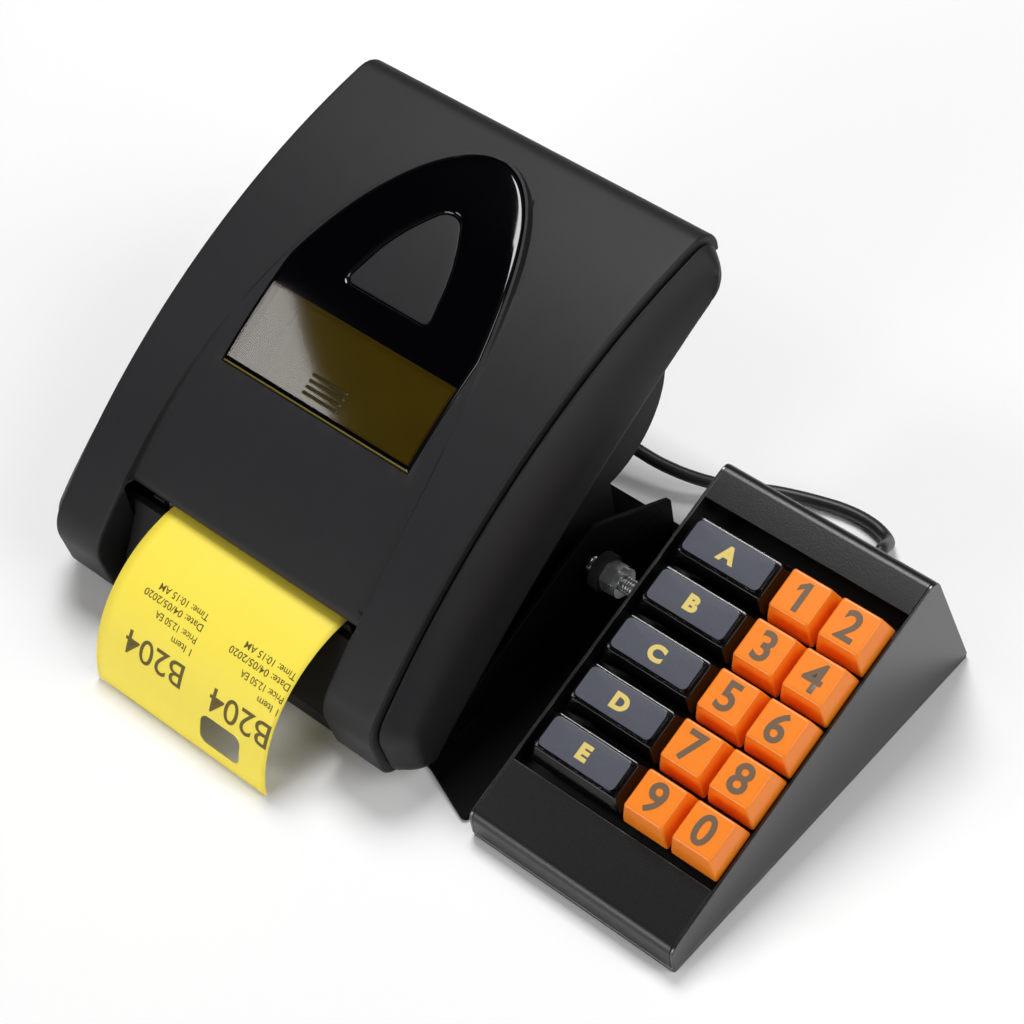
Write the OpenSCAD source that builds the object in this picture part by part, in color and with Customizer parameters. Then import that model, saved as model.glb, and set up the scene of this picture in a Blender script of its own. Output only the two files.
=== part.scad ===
// Counter ticket printer: a curved thermal printer with a hinged cover and smoked window,
// joined by a steel bracket to a sloped keypad with number keys and label keys.
// Millimetres, +X right, +Y to the back, +Z up, counter top at z = 0.

/* [Printer cover] */
// Width of the hinged cover
cover_w = 148; // [136:1:160]
// Length of the cover from its nose to its back
cover_l = 180; // [172:1:190]
// Height of the crown above the counter
cover_h = 108.5; // [104:0.5:114]
// Radius of the crown arc
crown_r = 270; // [255:5:300]
// Distance of the crown's centre behind the back edge
crown_back = 9; // [4:1:14]
// Radius of the nose
nose_r = 14; // [12:1:16]
// Lean of the front face below the nose, in degrees
front_lean = 7; // [0:1:9]
// Radius of the upper back corner, which the hinge is centred on
back_r = 10; // [9:0.5:12]
// Wall of the moulded shells
wall = 2.4; // [2:0.2:2.8]
// Depth of the rim at the sides of the cover
rim_d = 5; // [4:0.5:5.5]
// Height of the lower front edge above the counter
cover_foot_z = 4.5; // [3:0.5:7]

/* [Arch panel and window] */
// Width of the ticket mouth and of the arch panel above it
arch_w = 105; // [98:1:112]
// Length of the arch panel from the mouth's lip to its apex
arch_l = 142; // [130:1:150]
// Distance of the mouth's lip behind the nose
lip_y = 20; // [18:0.5:22]
// Tilt of the arch panel against the crown, in degrees
panel_tilt = 2.2; // [1.6:0.1:2.6]
// Place where the arch panel is flush with the crown
panel_flush_y = 78; // [70:1:90]
// Width of the window
window_w = 84; // [76:1:90]
// Distance of the window's lower edge behind the nose
window_y = 62; // [58:1:66]
// Thickness of the window lens
lens_t = 2; // [1.6:0.1:2.4]
// Length of the clear band in the window
view_l = 26; // [20:1:30]
// Width of the triangle in the window
tri_w = 36; // [30:1:40]
// Length of the triangle in the window
tri_l = 36; // [30:1:40]
// Distance of the triangle's base behind the nose
tri_y = 101; // [98:1:106]

/* [Cheeks] */
// Reach of each cheek outside the cover
cheek_w = 9; // [7:0.5:12]
// Depth of the cheek's rounded shoulder
shoulder_d = 26; // [20:1:32]
// Gap between the cover and a cheek
groove = 0.8; // [0.5:0.1:1.2]
// Height of the cheek's lower edge at the nose
cheek_nose_z = 4; // [3:0.5:6]
// Depth of the cheek's lower edge under the hinge, at the back
cheek_back_drop = 5.3; // [4:0.1:8]
// Radius of the cheek's lower front corner
toe_r = 9; // [6:0.5:11]
// Rise of the cheek's lower edge above its chord
cheek_sag = 6; // [3:0.5:9]

/* [Printer body] */
// Distance of the lower body's sides inside the cover's sides
body_in = 6; // [5:0.5:7]
// Length of the pedestal, measured from the nose
ped_l = 123; // [118:1:128]
// Height of a rubber foot
foot_h = 3; // [2:0.5:5]
// Height of the roll bay's lowest point above the counter
bay_floor = 33.05; // [32:0.05:36]
// Space between the roll bay and the crown
bay_over = 5; // [4.5:0.5:7]
// Place of the roll axis behind the nose
roll_y = 122; // [120:0.5:124]

/* [Paper] */
// Width of the paper
paper_w = 80; // [70:1:82]
// Distance of the paper's middle to the right of the printer's middle
paper_x = 4; // [-4:1:6]
// Thickness of the paper as modelled
paper_t = 0.3; // [0.2:0.05:0.4]
// Space between the full paper roll and the roll bay
roll_gap = 3; // [2.5:0.5:10]
// Outer radius of the roll's core
core_r = 9.5; // [8.5:0.5:11]
// Height of the ticket's free end above the counter
ticket_end_z = 0.45; // [0.3:0.05:2]
// Width of the hole punched in the ticket
hole_w = 18; // [12:1:22]
// Height of the hole punched in the ticket
hole_h = 10.6; // [8:0.2:12]

/* [Print mechanism] */
// Radius of the platen roller
platen_r = 7; // [6:0.5:7.5]
// Place of the platen axis behind the nose
platen_y = 34; // [33:0.5:36]
// Depth of the platen axis under the crown
platen_drop = 24.6; // [24:0.1:25.5]
// Radius of the platen's shaft
shaft_r = 3; // [2.5:0.25:3.5]
// Module of the gears
gear_m = 0.8; // [0.7:0.05:0.85]
// Teeth on the platen gear
platen_teeth = 22; // [20:1:24]
// Teeth on the idler gear
idler_teeth = 18; // [16:1:20]
// Teeth on the motor pinion
pinion_teeth = 12; // [12:1:14]
// Radius of the stepper motor
motor_r = 11; // [9:0.5:12]

/* [Keypad case] */
// Width of the keypad
kp_w = 82.5; // [80:0.5:95]
// Distance over which the keypad's back leans forward
back_run = 14; // [8:1:20]
// Height of the front wall where the slope starts
kp_front_h = 11.4; // [10:0.2:14]
// Slope of the key surface, in degrees
kp_slope = 18; // [14:0.5:20]
// Thickness of the sheet steel
kp_t = 1.2; // [1:0.1:1.6]
// Outer radius of the folds
kp_bend_r = 4; // [3:0.5:6]
// Length of the front strip along the slope
strip_front = 22.5; // [21:0.5:23.5]
// Length of the key bay beyond its rows of keys
bay_end = 7.75; // [6:0.25:10]
// Length of the rear strip along the slope
strip_back = 14.345; // [12:0.005:18]
// Distance of the keypad's front behind the printer's nose
kp_setback = 6; // [0:1:12]
// Clear space between the printer's cheek and the keypad
side_gap = 24; // [20:1:40]

/* [Keys] */
// Pitch of the keys
key_pitch = 19.05; // [18.6:0.05:19.05]
// Width of a single key at its foot
key_w = 18; // [17:0.1:18.2]
// Width of a key's top face
key_top_w = 13.8; // [12:0.2:15]
// Depth of a key's top face
key_top_d = 14.6; // [12:0.2:15.5]
// Height of a key cap
key_h = 9.8; // [8.5:0.1:11]
// Travel of a key
key_travel = 3.8; // [2:0.1:4]
// Depth of the key plate under the case's top
plate_drop = 8; // [7:0.1:8.5]
// Gap between the right-hand keys and the wall
key_wall_gap = 0.8; // [0.6:0.1:1.5]
// Thickness of a label key's clear cap
label_t = 2.4; // [1.6:0.1:3]

/* [Bracket] */
// Thickness of the bracket's steel
bracket_t = 2; // [1.5:0.1:3]
// Height of the flange's peak above the counter
flange_h = 36.5; // [34:0.5:38]
// Distance of the bracket's back edge behind the nose
bracket_back = 139.5; // [136:0.5:142]
// Radius of the clamp bolt
bolt_r = 3; // [2.5:0.25:3.5]

/* [Cable] */
// Diameter of the keypad cable
cable_d = 4.5; // [4:0.1:5]

/* [Hidden] */
$fn = 48;

// Clearances
seam = 0.6;        // between the cover and the body under it
slip = 0.2;        // round a piece that drops into its seat
run_fit = 0.05;    // round a shaft that turns in its bore
air = 0.3;         // between bodies that move past each other
eps = 0.01;
tuck = 0.03;       // by which a flat sits inside the arc that it runs into
lap = 0.6;         // by which fused walls run into each other
reach = 60;        // how far a cutting shape runs past the body
crown_fn = 180;

charcoal = [0.16, 0.155, 0.165];
gloss_black = [0.03, 0.03, 0.035];
satin_black = [0.09, 0.09, 0.095];
zinc = [0.75, 0.76, 0.78];
steel = [0.6, 0.61, 0.63];
paper_yellow = [0.98, 0.88, 0.2];
key_orange = [0.95, 0.42, 0.08];
rubber_black = [0.06, 0.06, 0.06];
board_green = [0.05, 0.3, 0.16];
gear_white = [0.88, 0.87, 0.82];

// Side view of the printer: x runs back from the nose, y is the height
crown_c = [cover_l + crown_back, cover_h - crown_r];
nose_c = [nose_r, crown_c.y + sqrt(pow(crown_r - nose_r, 2) - pow(crown_c.x - nose_r, 2))];
hinge_c = [cover_l - back_r,
    crown_c.y + sqrt(pow(crown_r - back_r, 2) - pow(crown_c.x - cover_l + back_r, 2))];
body_w = cover_w - 2 * body_in;
body_z = bracket_t + foot_h;
floor_z = body_z + wall;
rim_gap = rim_d + seam;
skirt_z = hinge_c.y - 1;
bay_r = (crown_z(roll_y) - bay_over - bay_floor) / 2;
roll_r = bay_r - roll_gap;
roll_z = bay_floor + bay_r;
platen_z = crown_z(platen_y) - platen_drop;
roll_c = [roll_y, roll_z];
platen_c = [platen_y, platen_z];
paper_z = platen_z + platen_r + air + paper_t / 2;
flush_p = [panel_flush_y, crown_z(panel_flush_y)];
mouth_front = [5.5, cover_foot_z + 7.5];
mouth_top = [lip_y + 1, platen_z + 2.5];
jaw_d = lip_y - 2;
trough_r = back_r + 2 * seam;
hinge_pin_r = 1.8;
lug_w = 7;
lug_x = (body_w - lug_w) / 2 - wall + 0.1;
knuckle_w = 11;
knuckle_x = lug_x - (lug_w + knuckle_w) / 2 - 3.2;

// Where the printer and the keypad stand
printer_w = cover_w + 2 * cheek_w;
total_w = printer_w + side_gap + kp_w;
printer_x = (printer_w - total_w) / 2;
kp_x = (total_w - kp_w) / 2;
hang_y = lip_y + 2;
hang_end = 5;
hang_step = 6;
hang_r = (paper_z - ticket_end_z) / (1 - sin(hang_end));
ticket_reach = hang_r * cos(hang_end) + paper_t / 2 * cos(hang_end + hang_step / 2) - hang_y;
total_d = cover_l + ticket_reach;
nose_y = ticket_reach - total_d / 2;
kp_y = nose_y + kp_setback;

function unit(v) = v / norm(v);
function crown_z(y) = crown_c.y + sqrt(pow(crown_r, 2) - pow(crown_c.x - y, 2));
function front_y(inset, z) = let (f = nose_c + (nose_r - inset) * [-cos(front_lean), -sin(front_lean)])
    f.x + (f.y - z) * tan(front_lean);
function turn(p, a) = [p.x * cos(a) - p.y * sin(a), p.x * sin(a) + p.y * cos(a)];

// Points of an outline whose corners are rounded, each by its own radius
function rounded(pts, radii, n = 5) = [for (i = [0 : len(pts) - 1])
    let (p = pts[i], r = radii[i],
        u = unit(pts[(i + len(pts) - 1) % len(pts)] - p), w = unit(pts[(i + 1) % len(pts)] - p),
        h = acos(u * w) / 2, c = p + unit(u + w) * r / sin(h),
        a0 = atan2((p + u * r / tan(h) - c).y, (p + u * r / tan(h) - c).x),
        a1 = atan2((p + w * r / tan(h) - c).y, (p + w * r / tan(h) - c).x),
        d = (a1 - a0 + 540) % 360 - 180)
    each r == 0 ? [p] : [for (k = [0 : n]) c + r * [cos(a0 + d * k / n), sin(a0 + d * k / n)]]];

// A convex outline, running anticlockwise, with each side moved inwards
function inset_outline(pts, t) = [for (i = [0 : len(pts) - 1])
    let (p = pts[i], u = unit(pts[(i + len(pts) - 1) % len(pts)] - p),
        w = unit(pts[(i + 1) % len(pts)] - p), h = acos(u * w) / 2)
    p + unit(u + w) * t / sin(h)];

function rect(w, d) = [[-w / 2, -d / 2], [w / 2, -d / 2], [w / 2, d / 2], [-w / 2, d / 2]];

// Carries a side view along X
module along_x(w, x = 0) {
    translate([x, 0, 0]) rotate([90, 0, 90]) linear_extrude(w, center = true) children();
}

module in_printer() {
    translate([printer_x, nose_y, 0]) children();
}

// Side view of the printer, moved inwards by inset, down to the height low_z
module profile(inset, low_z) {
    n_dir = unit(nose_c - crown_c);
    b_dir = unit(hinge_c - crown_c);
    flat = inset + tuck;
    front = nose_c + (nose_r - flat) * [-cos(front_lean), -sin(front_lean)];
    translate(nose_c) circle(r = nose_r - inset);
    translate(hinge_c) circle(r = back_r - inset);
    intersection() {
        translate(crown_c) circle(r = crown_r - inset, $fn = crown_fn);
        polygon([nose_c, nose_c + n_dir * reach, hinge_c + b_dir * reach, hinge_c,
            [cover_l - flat, hinge_c.y], [cover_l - flat, low_z], [front_y(flat, low_z), low_z], front]);
    }
}

// The cover's skin in side view, from the surface to the given depth
module band(depth) {
    difference() {
        profile(0, cover_foot_z);
        profile(depth, cover_foot_z - 1);
        translate([cover_l - 2 * back_r, 0]) square([cover_l, skirt_z]);
    }
}

// Disc of the crown, turned about the flush line as the arch panel is
module tilted_crown(inset) {
    translate(flush_p) rotate(panel_tilt) translate(crown_c - flush_p)
        circle(r = crown_r - inset, $fn = crown_fn);
}

module crown_disc(inset) {
    translate(crown_c) circle(r = crown_r - inset, $fn = crown_fn);
}

// Half ellipse of the arch panel in plan, made wider or narrower by grow
module arch_plan(grow) {
    a = arch_w / 2 + grow;
    b = arch_l + grow;
    steps = 36;
    translate([0, lip_y])
        polygon([for (i = [0 : steps]) [a * cos(180 * i / steps), b * sin(180 * i / steps)]]);
}

// Border of the arch panel round the window, at its apex
window_border = 1.5;

module window_plan(grow) {
    intersection() {
        arch_plan(grow - window_border);
        translate([-window_w / 2 - grow, window_y - grow]) square([window_w + 2 * grow, cover_l]);
    }
}

tri_r = 5;
tri_apex_r = 6;

module tri_plan(grow) {
    corners = [[-tri_w / 2, tri_y], [tri_w / 2, tri_y], [0, tri_y + tri_l + tri_apex_r]];
    polygon(rounded(inset_outline(corners, -grow), [tri_r + grow, tri_r + grow, tri_apex_r + grow]));
}

// Ledge on which the lens lies round the clear band
view_ledge = 4;

module view_plan() {
    translate([-window_w / 2 + view_ledge, window_y + view_ledge])
        square([window_w - 2 * view_ledge, view_l - view_ledge / 2]);
}

module upright(h = 2 * cover_h) {
    linear_extrude(h) children();
}

// Top of the pad that carries the lens, in side view
module lens_seat() {
    intersection() {
        tilted_crown(lens_t);
        crown_disc(1);
    }
}

module mouth_cut() {
    translate([-arch_w / 2, -reach, 0]) cube([arch_w, reach + lip_y, cover_h]);
}

module knuckles() {
    web_t = 8;
    for (s = [-1, 1]) along_x(knuckle_w, s * knuckle_x) difference() {
        union() {
            translate(hinge_c) circle(r = back_r - rim_gap);
            translate([hinge_c.x - web_t / 2, hinge_c.y]) square([web_t, back_r - wall]);
        }
        translate(hinge_c) circle(r = hinge_pin_r + run_fit);
    }
}

// Room for the paper under the lip of the mouth
module lip_room() {
    translate([paper_x - paper_w / 2 - wall, lip_y - wall, 0])
        cube([paper_w + 2 * wall, 2 * wall, paper_z + paper_t / 2 + air]);
}

module top_cover() {
    color(charcoal) in_printer() {
        difference() {
            union() {
                difference() {
                    along_x(cover_w) band(wall);
                    upright() arch_plan(0);
                    mouth_cut();
                }
                for (s = [-1, 1]) along_x(wall, s * (cover_w - wall) / 2) band(rim_d);
                for (s = [-1, 1]) along_x(wall, s * (arch_w + wall) / 2) intersection() {
                    profile(0, cover_foot_z);
                    square([jaw_d, crown_z(jaw_d) - wall]);
                }
                // arch panel, which sinks towards the mouth and stands proud at its apex
                intersection() {
                    along_x(arch_w + 4) difference() {
                        tilted_crown(0);
                        intersection() {
                            tilted_crown(wall);
                            crown_disc(wall + 0.4);
                        }
                    }
                    upright() difference() {
                        arch_plan(lap);
                        window_plan(slip);
                        translate([-cover_w / 2, lip_y - 2]) square([cover_w, 2]);
                    }
                }
                // pad under the lens
                intersection() {
                    along_x(cover_w) difference() {
                        lens_seat();
                        crown_disc(wall + 3);
                    }
                    upright() window_plan(3);
                }
                // island that fills the triangle
                intersection() {
                    along_x(cover_w) difference() {
                        tilted_crown(0.5);
                        crown_disc(wall + 2);
                    }
                    upright() tri_plan(-slip);
                }
                intersection() {
                    knuckles();
                    along_x(cover_w) profile(wall / 2, 0);
                }
            }
            upright() view_plan();
            lip_room();
        }
    }
}

module window_lens() {
    color(gloss_black) in_printer() difference() {
        intersection() {
            along_x(cover_w) difference() {
                tilted_crown(0);
                lens_seat();
            }
            upright() window_plan(0);
        }
        upright() tri_plan(0);
    }
}

// Lower edge of the cheeks, an arc that rises from nose to back
cheek_a = [10, cheek_nose_z];
cheek_b = [cover_l - 8, hinge_c.y - cheek_back_drop];
cheek_edge_r = (pow(norm(cheek_b - cheek_a) / 2, 2) + pow(cheek_sag, 2)) / (2 * cheek_sag);
cheek_edge_c = (cheek_a + cheek_b) / 2
    + turn(unit(cheek_b - cheek_a), 90) * (cheek_sag - cheek_edge_r);

// What is taken off the cheek's lower front corner to round it
module toe_corner() {
    c = [front_y(0, cheek_nose_z + toe_r) + toe_r, cheek_nose_z + toe_r];
    difference() {
        translate(c - [reach, reach]) square(reach);
        translate(c) circle(r = toe_r + tuck);
    }
}

module flank(inset) {
    difference() {
        profile(inset, cheek_nose_z);
        translate(cheek_edge_c) circle(r = cheek_edge_r, $fn = 360);
        toe_corner();
    }
}

// Section of a cheek across the crown: x is the radius, y the distance from the middle
module cheek_section() {
    out = cover_w / 2 + cheek_w;
    top = crown_r - 1.2;
    lead = 2;
    polygon(concat(
        [[crown_r - 120, body_w / 2 - lead], [top, body_w / 2 - lead]],
        [for (a = [0 : 9 : 90]) [top - shoulder_d * (1 - cos(a)),
            cover_w / 2 + groove + lead + (cheek_w - groove - lead) * sin(a)]],
        [[crown_r - 60, out - 0.4], [crown_r - 120, out - 3]]));
}

// Room under the hinge for the cover's rim as it swings open
module rim_sweep() {
    difference() {
        translate(hinge_c) circle(r = back_r + seam);
        translate(hinge_c) circle(r = back_r - rim_gap);
        translate(hinge_c - [reach + 1, reach]) square([reach, 2 * reach]);
    }
}

cheek_front_r = 13;
cheek_rear_r = 11;

module cheek() {
    out = cover_w / 2 + cheek_w + 2;
    split = cover_w / 2 + groove;
    intersection() {
        union() {
            along_x(split - body_w / 2, (split + body_w / 2) / 2) difference() {
                flank(rim_gap);
                rim_sweep();
            }
            along_x(out - split, (split + out) / 2) flank(0.5);
        }
        translate([0, crown_c.x, crown_c.y]) rotate([0, 90, 0])
            rotate_extrude($fn = crown_fn) cheek_section();
        upright() polygon(rounded([[0, 0], [out, 0], [out, cover_l], [0, cover_l]],
            [0, cheek_front_r, cheek_rear_r, 0]));
    }
}

module right_cheek() {
    color(charcoal) in_printer() cheek();
}

module left_cheek() {
    color(charcoal) in_printer() mirror([1, 0, 0]) cheek();
}

// Lower body in side view: pedestal, roll bucket and hinge trough
module pedestal() {
    polygon([[mouth_front.x, body_z], [ped_l, body_z], [ped_l, roll_z - bay_r / 2],
        [roll_y - bay_r, roll_z], mouth_top + [wall, 0], mouth_top, mouth_front]);
}

module pedestal_hollow() {
    polygon([[mouth_front.x + wall, floor_z], [ped_l - wall, floor_z], [ped_l - wall, roll_z],
        [roll_y - bay_r, roll_z + bay_r], [lip_y, roll_z + bay_r], mouth_top + [wall, eps],
        mouth_top + [wall, -wall / 2], mouth_front + [wall, 0]]);
}

module bucket_disc(r) {
    translate(roll_c) circle(r = r, $fn = 96);
}

bucket_back = [roll_y + bay_r + wall, roll_z];
trough_front = hinge_c + (trough_r + wall / 2) * [cos(205), sin(205)];

module body_section() {
    difference() {
        pedestal();
        pedestal_hollow();
        bucket_disc(bay_r);
    }
    difference() {
        bucket_disc(bay_r + wall);
        bucket_disc(bay_r);
        translate([roll_y - bay_r - 2 * wall, roll_z + 4]) square([2 * bay_r + 4 * wall, bay_r]);
    }
    difference() {
        polygon([bucket_back - [wall, 0], bucket_back, trough_front + [wall / 2, 0],
            trough_front - [wall / 2, 0]]);
        translate(hinge_c) circle(r = trough_r);
    }
    difference() {
        translate(hinge_c) circle(r = trough_r + wall);
        translate(hinge_c) circle(r = trough_r);
        translate(hinge_c) polygon([[0, 0], reach * [cos(210), sin(210)], [-reach, reach], [reach, reach],
            reach * [cos(-50), sin(-50)]]);
    }
}

module body_side() {
    flank(rim_gap);
    pedestal();
    difference() {
        bucket_disc(bay_r + wall);
        translate([roll_y - bay_r - 2 * wall, crown_z(roll_y) - rim_gap - 3]) square([3 * bay_r, bay_r]);
    }
    difference() {
        polygon([roll_c, bucket_back, trough_front + [wall / 2, 0], hinge_c]);
        translate(hinge_c) circle(r = trough_r);
    }
}

// Gear train in side view: the motor hangs under the platen, clear of the floor
frame_x = paper_w / 2 + 4;
frame_t = 2;
gear_w = 5;
drive_1 = gear_m * (platen_teeth + idler_teeth) / 2;
drive_2 = gear_m * (idler_teeth + pinion_teeth) / 2;
pinion_c = [platen_y + 0.87 * (drive_1 + drive_2),
    max(platen_z - 0.44 * (drive_1 + drive_2), floor_z + frame_t + motor_r + 1)];
train = pinion_c - platen_c;
gear_a1 = atan2(train.y, train.x)
    - acos((pow(drive_1, 2) + train * train - pow(drive_2, 2)) / (2 * drive_1 * norm(train)));
idler_c = platen_c + drive_1 * [cos(gear_a1), sin(gear_a1)];
gear_a2 = atan2(pinion_c.y - idler_c.y, pinion_c.x - idler_c.x);
frame_front = lip_y + 6;
frame_back = pinion_c.x + motor_r + 4;

// Boards and sockets in the pedestal
pcb_t = 1.6;
board_w = body_w - 26;
board_y = [frame_back + 1.2, ped_l - 5];
board_z = floor_z + 3;
post_in = 5;
port_w = 14;
port_h = 12;
port_x = 23;
inlet_w = 11;
inlet_x = -34;
switch_x = -6;
switch_w = 15;
switch_z = 19;
switch_tilt = 7;
switch_pin_r = 1.2;
switch_in = wall + 3.5;
rear_port_z = board_z + pcb_t;

rib_t = 3;
rib_in = paper_w / 2 + 1.5;
journal_r = 4;

module cradle_ribs() {
    for (s = [-1, 1]) along_x(rib_t, paper_x + s * (rib_in + rib_t / 2)) difference() {
        bucket_disc(bay_r + wall / 2);
        translate([roll_y - 2 * bay_r, roll_z + 6]) square([4 * bay_r, 2 * bay_r]);
        translate(roll_c) circle(r = journal_r + run_fit);
        translate([roll_y - journal_r - run_fit, roll_z]) square([2 * (journal_r + run_fit), bay_r]);
    }
}

// Opening in the back wall of the pedestal
module rear_cut(x, z, w, h) {
    translate([x, ped_l, z]) cube([w, 4 * wall, h], center = true);
}

module base_housing() {
    color(satin_black) in_printer() {
        difference() {
            union() {
                along_x(body_w) body_section();
                for (s = [-1, 1]) along_x(wall, s * (body_w - wall) / 2) body_side();
                cradle_ribs();
                for (s = [-1, 1]) along_x(lug_w, s * lug_x) translate(hinge_c)
                    circle(r = back_r - rim_gap);
                for (s = [-1, 1], y = [board_y[0] + post_in, board_y[1] - post_in])
                    translate([s * (board_w / 2 - post_in), y, floor_z - eps])
                        cylinder(r = 3, h = board_z - floor_z + eps);
                for (s = [-1, 1])
                    translate([switch_x + s * (switch_w / 2 + air + 1.5), ped_l - switch_in, switch_z])
                        cube([3, 7, 9], center = true);
            }
            // room for the jaws of the cover
            for (s = [-1, 1])
                translate([s * (arch_w / 2 + reach / 2 - seam), lip_y / 2 - reach / 2, cover_h / 2])
                    cube([reach, lip_y + reach - 2 * seam, 2 * cover_h], center = true);
            translate([0, hinge_c.x, hinge_c.y]) rotate([0, 90, 0])
                cylinder(r = hinge_pin_r, h = body_w - wall, center = true);
            rear_cut(port_x, rear_port_z + port_h / 2, port_w + 2 * slip, port_h + 2 * slip);
            rear_cut(inlet_x, rear_port_z + inlet_w / 2, inlet_w + 2 * slip, inlet_w + 2 * slip);
            rear_cut(switch_x, switch_z, switch_w + 2 * air, 13);
            translate([switch_x, ped_l - switch_in, switch_z]) rotate([0, 90, 0])
                cylinder(r = switch_pin_r + run_fit, h = switch_w + 8, center = true);
        }
    }
}

foot_r = 7;
foot_in = 18;

module printer_feet() {
    color(rubber_black) in_printer() for (s = [-1, 1], y = [lip_y + 12, ped_l - 2 * foot_r])
        translate([s * (body_w / 2 - foot_in), y, bracket_t]) cylinder(r = foot_r, h = foot_h);
}

idler_turn = gear_a1 + 180 + 180 / idler_teeth;
idler_lag = gear_a2 - idler_turn;
pinion_turn = gear_a2 + 180 + 180 / pinion_teeth + idler_lag * idler_teeth / pinion_teeth;
gear_x = paper_x - frame_x - frame_t - 1 - gear_w / 2;
stud_r = 2;

module mech_frame() {
    plate = [[frame_front, floor_z], [frame_back, floor_z], [frame_back, pinion_c.y + 6],
        [platen_y + platen_r, platen_z + 5], [frame_front, platen_z + 5]];
    color(zinc) in_printer() difference() {
        union() {
            for (s = [-1, 1]) along_x(frame_t, paper_x + s * (frame_x + frame_t / 2)) difference() {
                polygon(rounded(plate, [0, 0, 4, 4, 4]));
                translate(platen_c) circle(r = shaft_r + run_fit);
                if (s < 0) translate(pinion_c) circle(r = 3);
            }
            translate([paper_x - frame_x - eps, frame_front, floor_z])
                cube([2 * frame_x + 2 * eps, frame_back - frame_front, frame_t]);
            translate([gear_x - gear_w / 2 - 1, idler_c.x, idler_c.y]) rotate([0, 90, 0])
                cylinder(r = stud_r, h = gear_w + 2 + frame_t);
        }
    }
}

module hinge_pin() {
    color(steel) in_printer() translate([0, hinge_c.x, hinge_c.y]) rotate([0, 90, 0])
        cylinder(r = hinge_pin_r, h = body_w - 2 * wall, center = true);
}

head_z = paper_z + paper_t / 2 + air;
head_t = 4;
head_y = [platen_y - 6, platen_y + 5];
vent_pitch = 0.3 * paper_w;

module print_head() {
    color(steel) in_printer() translate([paper_x - paper_w / 2 - 1, head_y[0], head_z]) difference() {
        cube([paper_w + 2, head_y[1] - head_y[0], head_t]);
        translate([-1, -eps, -eps]) cube([paper_w + 4, 1.5, 1]);
    }
}

module head_bracket() {
    color(zinc) in_printer() intersection() {
        translate([paper_x - paper_w / 2 + 2, head_y[0] + 1, head_z + head_t])
            cube([paper_w - 4, head_y[1] - head_y[0] - 1, cover_h]);
        difference() {
            along_x(cover_w) tilted_crown(wall);
            for (k = [-1, 0, 1]) translate([paper_x + k * vent_pitch, platen_y, head_z + head_t + 6])
                cube([vent_pitch * 2 / 3, reach, 8], center = true);
        }
    }
}

module tear_bar() {
    teeth = 40;
    bar_w = paper_w + 4;
    low = mouth_top.y - 5;
    high = paper_z - paper_t / 2 - 0.5;
    bar_t = 1.2;
    color(steel) in_printer() translate([paper_x, mouth_top.x + wall + bar_t, 0]) rotate([90, 0, 0])
        linear_extrude(bar_t) polygon(concat([[-bar_w / 2, low], [bar_w / 2, low]],
            [for (i = [0 : teeth]) each [[bar_w / 2 - bar_w * i / teeth, high - 1],
                if (i < teeth) [bar_w / 2 - bar_w * (i + 0.5) / teeth, high]]]));
}

module platen_roller() {
    color(rubber_black) in_printer() along_x(paper_w + 4, paper_x) translate(platen_c) difference() {
        circle(r = platen_r);
        circle(r = shaft_r + 1);
    }
}

module platen_shaft() {
    left = gear_x - gear_w / 2 - 1;
    right = paper_x + frame_x + frame_t + 2;
    color(steel) in_printer() {
        translate([left, platen_y, platen_z]) rotate([0, 90, 0]) cylinder(r = shaft_r, h = right - left);
        translate([paper_x, platen_y, platen_z]) rotate([0, 90, 0])
            cylinder(r = shaft_r + 1, h = paper_w + 4, center = true);
    }
}

// Spur gear outline with involute flanks and a little backlash
module gear_plan(teeth) {
    pitch_r = gear_m * teeth / 2;
    base_r = pitch_r * cos(20);
    root_r = pitch_r - 1.25 * gear_m;
    tip_r = pitch_r + 0.9 * gear_m;
    low_r = max(base_r, root_r);
    function inv(r) = let (a = acos(min(1, base_r / r))) tan(a) * 180 / PI - a;
    function half(r) = 90 / teeth + inv(pitch_r) - inv(r) - 0.05 / pitch_r * 180 / PI;
    flank_r = [for (k = [0 : 4]) low_r + (tip_r - low_r) * k / 4];
    polygon([for (i = [0 : teeth - 1]) let (c = 360 * i / teeth) each concat(
        [root_r * [cos(c - half(low_r)), sin(c - half(low_r))]],
        [for (r = flank_r) r * [cos(c - half(r)), sin(c - half(r))]],
        [for (k = [4 : -1 : 0]) flank_r[k] * [cos(c + half(flank_r[k])), sin(c + half(flank_r[k]))]],
        [root_r * [cos(c + half(low_r)), sin(c + half(low_r))]])]);
}

module gear(centre, teeth, turned, bore_r) {
    in_printer() along_x(gear_w, gear_x) translate(centre) difference() {
        rotate(turned) gear_plan(teeth);
        circle(r = bore_r);
    }
}

module platen_gear() {
    color(gear_white) gear(platen_c, platen_teeth, gear_a1, shaft_r);
}

module idler_gear() {
    color(gear_white) gear(idler_c, idler_teeth, idler_turn, stud_r + run_fit);
}

motor_l = 22;
motor_x = paper_x - frame_x + motor_l / 2;

module stepper_motor() {
    color(steel) in_printer() {
        translate([motor_x, pinion_c.x, pinion_c.y]) rotate([0, 90, 0]) difference() {
            cylinder(r = motor_r, h = motor_l, center = true);
            translate([0, 0, -motor_l / 2 - eps]) cylinder(r = 1 + run_fit, h = 9);
        }
    }
}

module motor_pinion() {
    color(gear_white) in_printer() {
        along_x(gear_w, gear_x) translate(pinion_c) rotate(pinion_turn) gear_plan(pinion_teeth);
        translate([gear_x, pinion_c.x, pinion_c.y]) rotate([0, 90, 0])
            cylinder(r = 1, h = gear_w / 2 + 1 + frame_t + 7);
    }
}

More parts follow.
